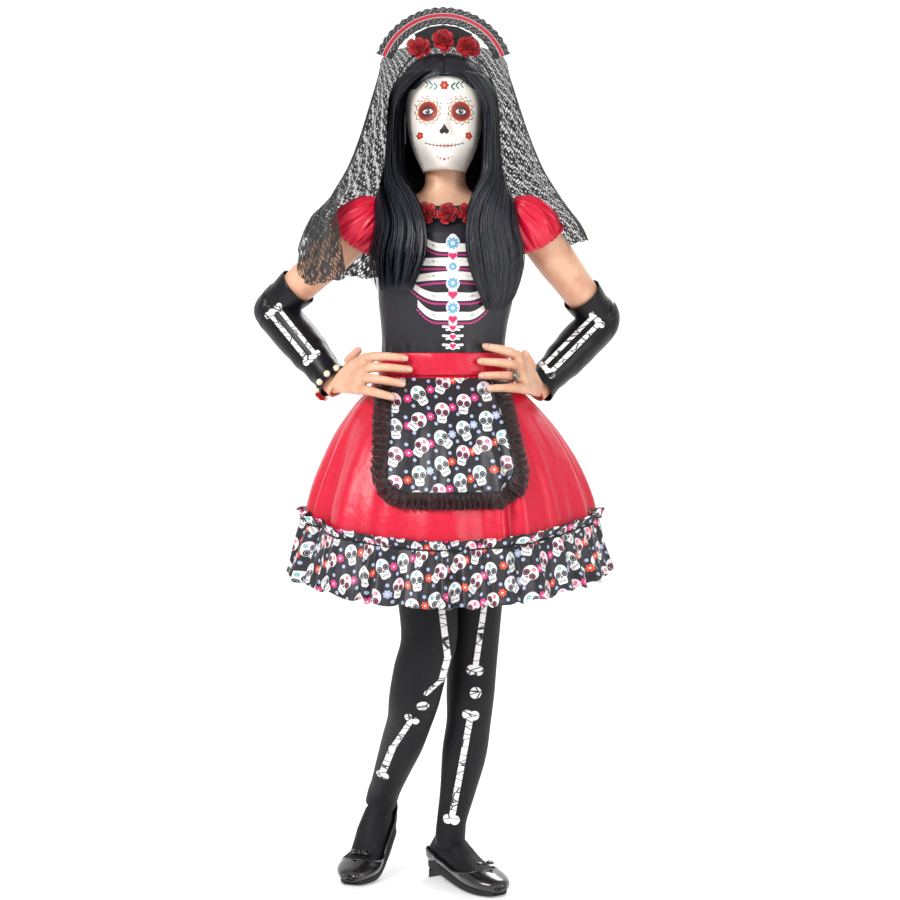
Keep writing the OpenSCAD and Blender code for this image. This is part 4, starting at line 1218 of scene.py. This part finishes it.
def apron_half(h):
    c = APRON_DROP - CORNER
    if h < c:
        return 88 + 34 * h / APRON_DROP
    return 88 + 34 * c / APRON_DROP - CORNER + sqrt(max(CORNER**2 - (h - c) ** 2, 0))


def at_front(x, h, lift):
    angle = asin(max(min((x - 7) / (skirt_r(h) + lift), 1), -1)) - pi / 2 + radians(3)
    return on_skirt(angle, 3 + h, lift)


def apron(u, v):
    h = APRON_DROP * (1 - v)
    x = (2 * u - 1) * apron_half(h)
    puff = 2.0 * ripple(x * 0.02, h * 0.012, 5) + 1.2 * sin(x * 0.32) * hump(h, 26)
    return at(*at_front(x, h, 3.6 + puff))


def apron_bm():
    bm = surface(110, 96, apron, (240, 196))
    uv = bm.loops.layers.uv["UVMap"]
    for face in bm.faces:
        for loop in face.loops:
            h = APRON_DROP * (1 - loop[uv].uv.y / 0.196)
            loop[uv].uv.x = (loop[uv].uv.x / 0.24 - 0.5) * 2 * apron_half(h) * MM + 0.3
    return bm


obj = piece("apron_print", apron_bm(), "figure", PRINT, ["apron"], wall=0.8)
cloth(obj)


def rim_point(q, w):
    c = APRON_DROP - CORNER
    side, k = (-1 if q < 0 else 1), abs(q)
    half = 88 + 34 * c / APRON_DROP
    if k < 0.28:
        return side * (half - CORNER) * k / 0.28, APRON_DROP + w
    if k < 0.5:
        a = radians(90 * (k - 0.28) / 0.22)
        return side * (half - CORNER + (CORNER + w) * sin(a)), c + (CORNER + w) * cos(a)
    h = c * (1 - (k - 0.5) / 0.5)
    return side * (88 + 34 * h / APRON_DROP + w), h


def edging(u, v):
    w = mix(25, -3, v)
    out = (w + 3) / 28
    scallop = 2.5 * abs(sin(u * pi * 42)) * smooth(out * 3 - 2)
    x, h = rim_point(2 * u - 1, w + scallop)
    frill = (sin(u * 2 * pi * 52 + 2 * ripple(u * 30, 2)) * 3.6 + ripple(u * 90,
        v * 3) * 3) * smooth(out * 1.3)
    return at(*at_front(x, h, 6.2 + 3 * sin(pi * out) + frill))


obj = piece("apron_lace_frill", surface(620, 12, edging, (1180, 30)), "figure", TRIM_LACE,
            ["apron_lace"],
            wall=0.5)
cloth(obj)


def cap_sleeve(side):
    s, d = SHOULDER[side], UPPER_ARM[side]
    outer = 1 if side == "left" else -1
    rows = [(*(s + q * d), r, r) for q, r in ((-62, 1), (-54, 22), (-36, 39), (-16, 47), (4, 51), (20, 50),
        (28, 45), (33, 50))]

    def shape(u, v):
        turn = 2 * pi * u
        c, e = cos(turn), sin(turn)
        ruche = (0.5 - abs(ripple(c * 3.4, e * 3.4, v * 1.6))) * 9 - 3
        pleat = 1.5 * sin(turn * 26 + 3 * ripple(c * 3, e * 3,
            v)) * (0.35 + smooth(v * 4 - 3) + smooth(1 - v * 4))
        last = mix(0.70, 1.0, 0.5 + 0.5 * outer * c)
        return at(*around(rows, last * v, turn, -1 + ruche + pleat))

    obj = piece("sleeve_puff_" + side, surface(180, 60, shape, (520, 80)), "figure", RED_SATIN,
                ["sleeve_" + side], wall=0.9)
    cloth(obj)


cap_sleeve("left")
cap_sleeve("right")

# ---- roses ----


def middle_of(node):
    """The middle of a CAD node's box, in drawing mm."""
    low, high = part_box(node)
    return ((low + high) / 2 - SHIFT) / MM


def rose(bm, centre, r, facing, seed):
    """Petals cut from cloth and set round a bud, widest at the outside."""
    draw = random.Random(seed)
    n = Vector(facing).normalized()
    a = n.orthogonal().normalized()
    b = n.cross(a)
    layers = ((6, 1.0, 0.12, 0.62), (5, 0.8, 0.34, 0.70), (4, 0.58, 0.50, 0.92), (3, 0.36, 0.60, 1.25),
              (2, 0.17, 0.66, 2.3))
    for count, reach, high, half in layers:
        start = draw.uniform(0, 2 * pi)
        for k in range(count):
            middle = start + 2 * pi * k / count + draw.uniform(-0.12, 0.12)
            lift, lean = draw.uniform(-0.04, 0.04), draw.uniform(0.9, 1.08)

            def petal(u, v, middle=middle, reach=reach * lean, high=high + lift, half=half):
                wide = half * (1 - 0.30 * abs(2 * u - 1) ** 3 * v)
                turn = middle + (2 * u - 1) * wide
                edge = 1 - 0.12 * (2 * u - 1) ** 2
                rad = mix(0.12, reach * edge, v**0.75) + 0.07 * smooth(v * 5 - 4)
                up = mix(-0.38, high * edge, v**1.25) - 0.13 * smooth(v * 4 - 3) + 0.03 * sin(9 * turn) * v
                return at(*(Vector(centre) + r * (rad * cos(turn) * a + rad * sin(turn) * b + up * n)))

            surface(8, 8, petal, bm=bm)
    return bm


roses = bmesh.new()
for k, (x, y, z) in enumerate(((-55, -30, 1510), (-11, -30, 1524), (32, -30, 1512))):
    rose(roses, (x, y, z), 21.5, (0.12 * (k - 1), -1, 0.25), 11 + k)
piece("headband_rose_blooms", roses, "head", ROSE, ["headband_roses"], wall=0.6, weld=False)
roses = bmesh.new()
for k, x in enumerate((-41, -4, 34)):
    rose(roses, (x, -63 + abs(x + 4) * 0.09, 1216), 19, (0.1 * (k - 1), -1, 0.2), 31 + k)
piece("neckline_rose_blooms", roses, "figure", ROSE, ["neckline_roses"], wall=0.6, weld=False)
wrist_c = WRIST["right"] - FOREARM["right"] * 9.5
charm = middle_of("bracelet_rose")
out = (charm - wrist_c).normalized()
bead_rose = rose(bmesh.new(), charm - out * 1.5, 12.5, out, 51)
piece("bracelet_bloom", bead_rose, "bracelet", CHARM, ["bracelet_rose"], wall=0.7, weld=False)

# ---- skull ring ----

skull_c = middle_of("ring_skull")
band_c = middle_of("ring_band")
out = (skull_c - band_c).normalized()
down = Vector((0, 0, -1))
down = (down - down.dot(out) * out).normalized()
wide = out.cross(down)


def skull(u, v):
    turn, up = 2 * pi * u, pi * (v - 0.5)
    p = Vector((cos(up) * cos(turn), cos(up) * sin(turn), sin(up)))
    x, y, z = p
    r = 6.4 - 1.9 * hump(abs(x) - 0.42, 0.2) * hump(z - 0.08, 0.22) * (y > 0)
    r -= 1.0 * hump(x, 0.14) * hump(z + 0.3, 0.14) * (y > 0)
    r += 0.7 * hump(abs(x) - 0.45, 0.25) * hump(z + 0.3, 0.2) * (y > 0)
    pinch = 1 - 0.28 * smooth(-z * 1.6)
    teeth = 0.25 * sin(x * 26) * hump(z + 0.68, 0.16) * (y > 0)
    q = Vector((x * r * pinch, y * (r + teeth), z * r * 1.15))
    return at(*(skull_c + wide * q.x + out * (q.y - 1.0) - down * q.z))


piece("ring_skull_head", surface(72, 60, skull), "ring", SILVER, ["ring_skull"], outward=True)

# ---- comb ----

COMB = Vector((-12, -6.3, 1457))
REACH = radians(69)


def comb_part(name, inner, outer, y_wave, scallop, segs, rows, flat_w, finish, node):
    middle = (inner + outer) / 2

    def shape(u, v):
        turn = mix(-REACH, REACH, u)
        r = mix(inner, outer, v)
        if scallop > 0:
            r += scallop * abs(cos(turn * 26)) * smooth(v * 2 - 1) - scallop * smooth(v * 2 - 1)
        if scallop < 0:
            r -= scallop * (1 - abs(cos(turn * 22))) * smooth(1 - v * 2)
        y = COMB.y + y_wave * sin(turn * 60) * 0.5
        return at(COMB.x + r * sin(turn), y, COMB.z + r * cos(turn))

    bm = surface(segs, rows, shape, (2 * REACH * middle, flat_w))
    return piece(name, bm, "head", finish, [node], wall=1.0)


comb_part("comb_ribbon_band", 108.5, 118.5, 0.8, 0, 260, 4, 10, RIBBON, "comb_ribbon")
comb_part("comb_lace_upper", 118.0, 128.2, 1.2, 2.6, 420, 6, 10, COMB_LACE, "comb_lace_outer")
comb_part("comb_lace_lower", 97.0, 109.0, 1.2, -2.2, 420, 6, 12, COMB_LACE, "comb_lace_inner")


def wire(u, v, r):
    turn, roll = mix(-REACH, REACH, v), 2 * pi * u
    rr = r + 0.8 * cos(roll)
    return at(COMB.x + rr * sin(turn), COMB.y + 0.8 * sin(roll), COMB.z + rr * cos(turn))


for k, r in enumerate((98.6, 118.3)):
    piece(f"comb_wire_{k + 1}", surface(8, 120, lambda u, v, r=r: wire(u, v, r)), "head",
          PLASTIC, outward=True)

# ---- hair ----

# Lock rows: height, centre x and y, inner half width and depth, first and last angle, thickness
HAIR_BACK = [
    (1462, -10, 14, 74, 91, 8, 172, 8), (1452, -10, 14, 75, 92, 12, 168, 12),
    (1400, -10, 14, 80, 96, 14, 166, 18),
    (1340, -10, 16, 82, 92, 16, 164, 20), (1290, -10, 18, 88, 84, 22, 158, 20),
    (1245, -8, 20, 100, 88, 34, 146, 18),
    (1200, -6, 20, 128, 100, 44, 136, 16), (1140, -4, 20, 130, 106, 46, 134, 14),
    (1060, -8, 20, 128, 106, 50, 130, 12),
    (1010, -8, 20, 124, 102, 58, 122, 6),
]
LOCK_LEFT = [
    (1464, -10, 12, 70, 88, -74, 10, 7), (1455, -10, 12, 73, 91, -62, 12, 12),
    (1430, -10, 12, 75, 92, -47, 20, 20),
    (1400, -10, 10, 74, 91, -37, 26, 24), (1340, -10, 6, 74, 90, -38, 28, 27),
    (1290, -10, 8, 80, 90, -44, 20, 27),
    (1245, -8, 12, 104, 94, -66, -10, 20), (1200, -5, 20, 134, 101, -76, -32, 14),
    (1140, -4, 20, 132, 107, -76, -24, 18),
    (1080, -6, 20, 126, 102, -66, -28, 16), (1045, -8, 20, 122, 97, -56, -34, 8),
]
# The right front lock mirrors the left, drawn in by up to 4 mm, and leaves out its last row
LOCK_RIGHT = [
    (z, x - min(2 * k, 4), y, a, b, 180 - e, 180 - s, t) for k,
    (z, x, y, a, b, s, e, t) in enumerate(LOCK_LEFT[:10])
]


def lock_point(rows, t, c, depth):
    z, cx, cy, a, b, start, end, thick = along(rows, t)
    angle = radians(mix(start, end, c))
    grow = thick * depth
    return Vector((cx + (a + grow) * cos(angle), cy + (b + grow) * sin(angle), z))


def hang_from_head(obj):
    """Bakes the placement of hair and veil into their mesh."""
    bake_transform(obj)


def hair_lock(name, rows, count, seed, nodes, spread):
    """A dark core with flat fibres laid over it from the parting to the tips."""
    draw = random.Random(seed)
    core = surface(40, 60, lambda u, v: at(*lock_point(rows, 1 - v * 0.985, mix(0.03, 0.97, u), 0.25)))
    for _ in range(count):
        c, depth = draw.random(), 0.35 + 0.7 * draw.random() ** 0.6
        wander, phase, wide = draw.uniform(-spread, spread), draw.uniform(0, 6.28), draw.uniform(1.3, 2.8)
        end, first = draw.uniform(0.86, 1.0), draw.uniform(0, 0.05)

        def fibre(u, v):
            t = mix(end, first, v)
            cc = min(max(c + wander * (t - 0.2) + 0.012 * sin(t * 9 + phase), 0.0), 1.0)
            p = lock_point(rows, t, cc, depth * (0.9 + 0.1 * sin(t * 5 + phase)))
            q = lock_point(rows, t, cc + 0.02, depth)
            way = (q - p).normalized() if (q - p).length > 1e-6 else Vector((1, 0, 0))
            taper = min(1, (end - t) * 14 + 0.15)
            return at(*(p + way * (u - 0.5) * wide * taper))

        surface(1, 24, fibre, bm=core)
    obj = piece(name, core, None, HAIR, nodes, weld=False)
    hang_from_head(obj)


hair_lock("hair_back_fibres", HAIR_BACK, 900, 3, ["hair_back"], 0.05)
hair_lock("hair_left_fibres", LOCK_LEFT, 760, 5, ["hair_front_left"], 0.10)
hair_lock("hair_right_fibres", LOCK_RIGHT, 760, 7, ["hair_front_right"], 0.10)

CROWN = Vector((-10, 14, 1437))
CROWN_R = Vector((79, 97, 66))


def dome(direction, grow):
    n = direction.normalized()
    return Vector([c + (r + grow) * w for c, r, w in zip(CROWN, CROWN_R, n)])


def hairline(turn):
    """How high the hair starts: an even arch over the forehead, lower at the temples and behind."""
    front = -sin(turn)
    return 0.05 + 0.22 * smooth((front - 0.76) / 0.24) - 0.10 * hump(front - 0.70, 0.16)


def crown_base(u, v):
    turn = 2 * pi * u
    up = mix(hairline(turn), pi / 2, v)
    return at(*dome(Vector((cos(up) * cos(turn), cos(up) * sin(turn), sin(up))), -2))


crown = surface(72, 26, crown_base)
draw = random.Random(9)
for k in range(900):
    s = 1 if k % 2 else -1
    part = draw.uniform(-1.28, 1.0)
    begin = Vector((0.012 * s, sin(part), cos(part)))
    low_turn = mix(-1.40, 1.35, (part + 1.28) / 2.28) + draw.uniform(-0.05, 0.05)
    fall = hairline(low_turn) + draw.uniform(-0.02, 0.05)
    finish_at = Vector((s * cos(low_turn) * cos(fall), sin(low_turn) * cos(fall), sin(fall)))
    grow, wide, phase = draw.uniform(-1.5, 2.5), draw.uniform(1.4, 3.0), draw.uniform(0, 6.28)

    def strand(u, v):
        t = 1 - v
        d = (begin * (1 - t) + finish_at * t).normalized()
        ahead = (begin * (1 - min(t + 0.05, 1.02)) + finish_at * min(t + 0.05, 1.02)).normalized()
        p, q = dome(d, grow + 1.5 * sin(pi * t) + 0.6 * sin(t * 7 + phase)), dome(ahead, grow)
        cross = (q - p).cross(d)
        cross = cross.normalized() if cross.length > 1e-6 else Vector((0, 1, 0))
        return at(*(p + cross * (u - 0.5) * wide))

    surface(1, 12, strand, bm=crown)
piece("crown_fibres", crown, "head", HAIR, ["wig_crown"], weld=False)

# ---- veil ----

# Veil rows: height, centre x and y, half width and depth, first and last angle, how far it tilts to one side
# and rises behind, and on the last rows how far it rides up over the arm
VEIL = [
    (1490, -12, 14, 112, 0.5, 0, 180, 0, 34), (1488, -12, 14, 114, 76, -2, 182, 0, 19),
    (1466, -12, 14, 118, 106, -4, 184, 0, 0), (1430, -12, 14, 128, 120, -6, 187, 0, 0),
    (1360, -12, 18, 150, 124, -8, 192, 0, 0), (1300, -12, 20, 174, 128, -10, 199, 0, 0),
    (1252, -12, 20, 205, 134, -14, 208, 2, 0, 0), (1206, -12, 20, 240, 140, -16, 220, 6, 0, 22),
    (1132, -12, 20, 262, 138, -8, 229, 44, 0, 92),
]


def veil(u, v):
    t = 1 - v
    z, cx, cy, a, b, start, end, tilt, arch, over_arm = along([(*r, 0)[:10] for r in VEIL], t)
    degree = mix(start, end, u)
    angle = radians(degree)
    gather = (sin(u * 2 * pi * 15 + 3 * ripple(u * 7, 1.0)) * 3.0 + ripple(u * 16,
        t * 2.2) * 9) * smooth(t * 1.4)
    gather += ripple(u * 40, t * 3) * 2.4 * smooth(t * 2)
    gather -= 2 * smooth(t)
    scallop = 4.0 * abs(sin(u * pi * 26)) * smooth(t * 20 - 19)
    return at(
        cx + (a + gather) * cos(angle),
        cy + (b + gather * min(t * 4, 1)) * sin(angle),
        z + tilt * cos(angle) + arch * sin(angle) + over_arm * hump(degree - 163, 21) - scallop
        + 4 * ripple(u * 9, 4) * smooth(t * 8 - 7),
    )


obj = piece("veil_lace", surface(300, 150, veil, (980, 430)), None, VEIL_LACE, ["veil"])
hang_from_head(obj)
cloth(obj)

# ---- studio ----


def backdrop(u, v):
    across = mix(-7, 7, u)
    run = mix(-6, 9, v)
    bend = max(run - 2.2, 0)
    y = min(run, 2.2) + 2.2 * sin(min(bend / 2.2, pi / 2))
    z = 2.2 * (1 - cos(min(bend / 2.2, pi / 2))) + max(bend - 2.2 * pi / 2, 0)
    return Vector((across, y, z))


mat, tree, shader = material("painted studio sweep, white")
here = point(*place_mm(tree))
feed(shader, Base_Color=tint("f4f4f4", (grain(here, 300, 2) * 0.2, "efefef")), Roughness=0.8)
feed(shader, Emission_Color=hexed("ffffff"), Emission_Strength=0.28)
mesh = bpy.data.meshes.new("studio_sweep")
bm = surface(8, 90, backdrop)
bm.to_mesh(mesh)
bm.free()
mesh.shade_smooth()
mesh.materials.append(mat)
sweep = bpy.data.objects.new("studio_sweep", mesh)
bpy.context.scene.collection.objects.link(sweep)

world = bpy.data.worlds.new("studio")
bpy.context.scene.world = world
world.use_nodes = True
world.node_tree.nodes["Background"].inputs[0].default_value = hexed("ffffff")
world.node_tree.nodes["Background"].inputs[1].default_value = 0.62


def soft_light(name, place, target, size, power):
    data = bpy.data.lights.new(name, "AREA")
    data.shape = "SQUARE"
    data.size = size
    data.energy = power
    lamp = bpy.data.objects.new(name, data)
    bpy.context.scene.collection.objects.link(lamp)
    lamp.location = place
    lamp.rotation_euler = (Vector(target) - Vector(place)).to_track_quat("-Z", "Y").to_euler()


soft_light("key", (-1.9, -2.6, 2.9), (0, 0, 0.9), 1.3, 95)
soft_light("fill", (2.6, -2.4, 1.5), (0, 0, 0.8), 1.8, 34)
soft_light("rim", (1.0, 2.0, 2.6), (0, 0, 1.1), 1.2, 40)

# The camera's distance in front, its height and the height it looks at, in drawing mm, and its lens
CAMERA_FRONT = 3700
CAMERA_Z = 980
AIM_Z = 795
LENS = 82.2

camera = bpy.data.cameras.new("camera")
camera.sensor_width = 36
camera.lens = LENS
camera_obj = bpy.data.objects.new("camera", camera)
bpy.context.scene.collection.objects.link(camera_obj)
eye, aim = at(0, -CAMERA_FRONT, CAMERA_Z), at(0, 0, AIM_Z)
camera_obj.location = eye
camera_obj.rotation_euler = (aim - eye).to_track_quat("-Z", "Y").to_euler()
bpy.context.scene.camera = camera_obj
bpy.context.scene.view_settings.view_transform = "Standard"
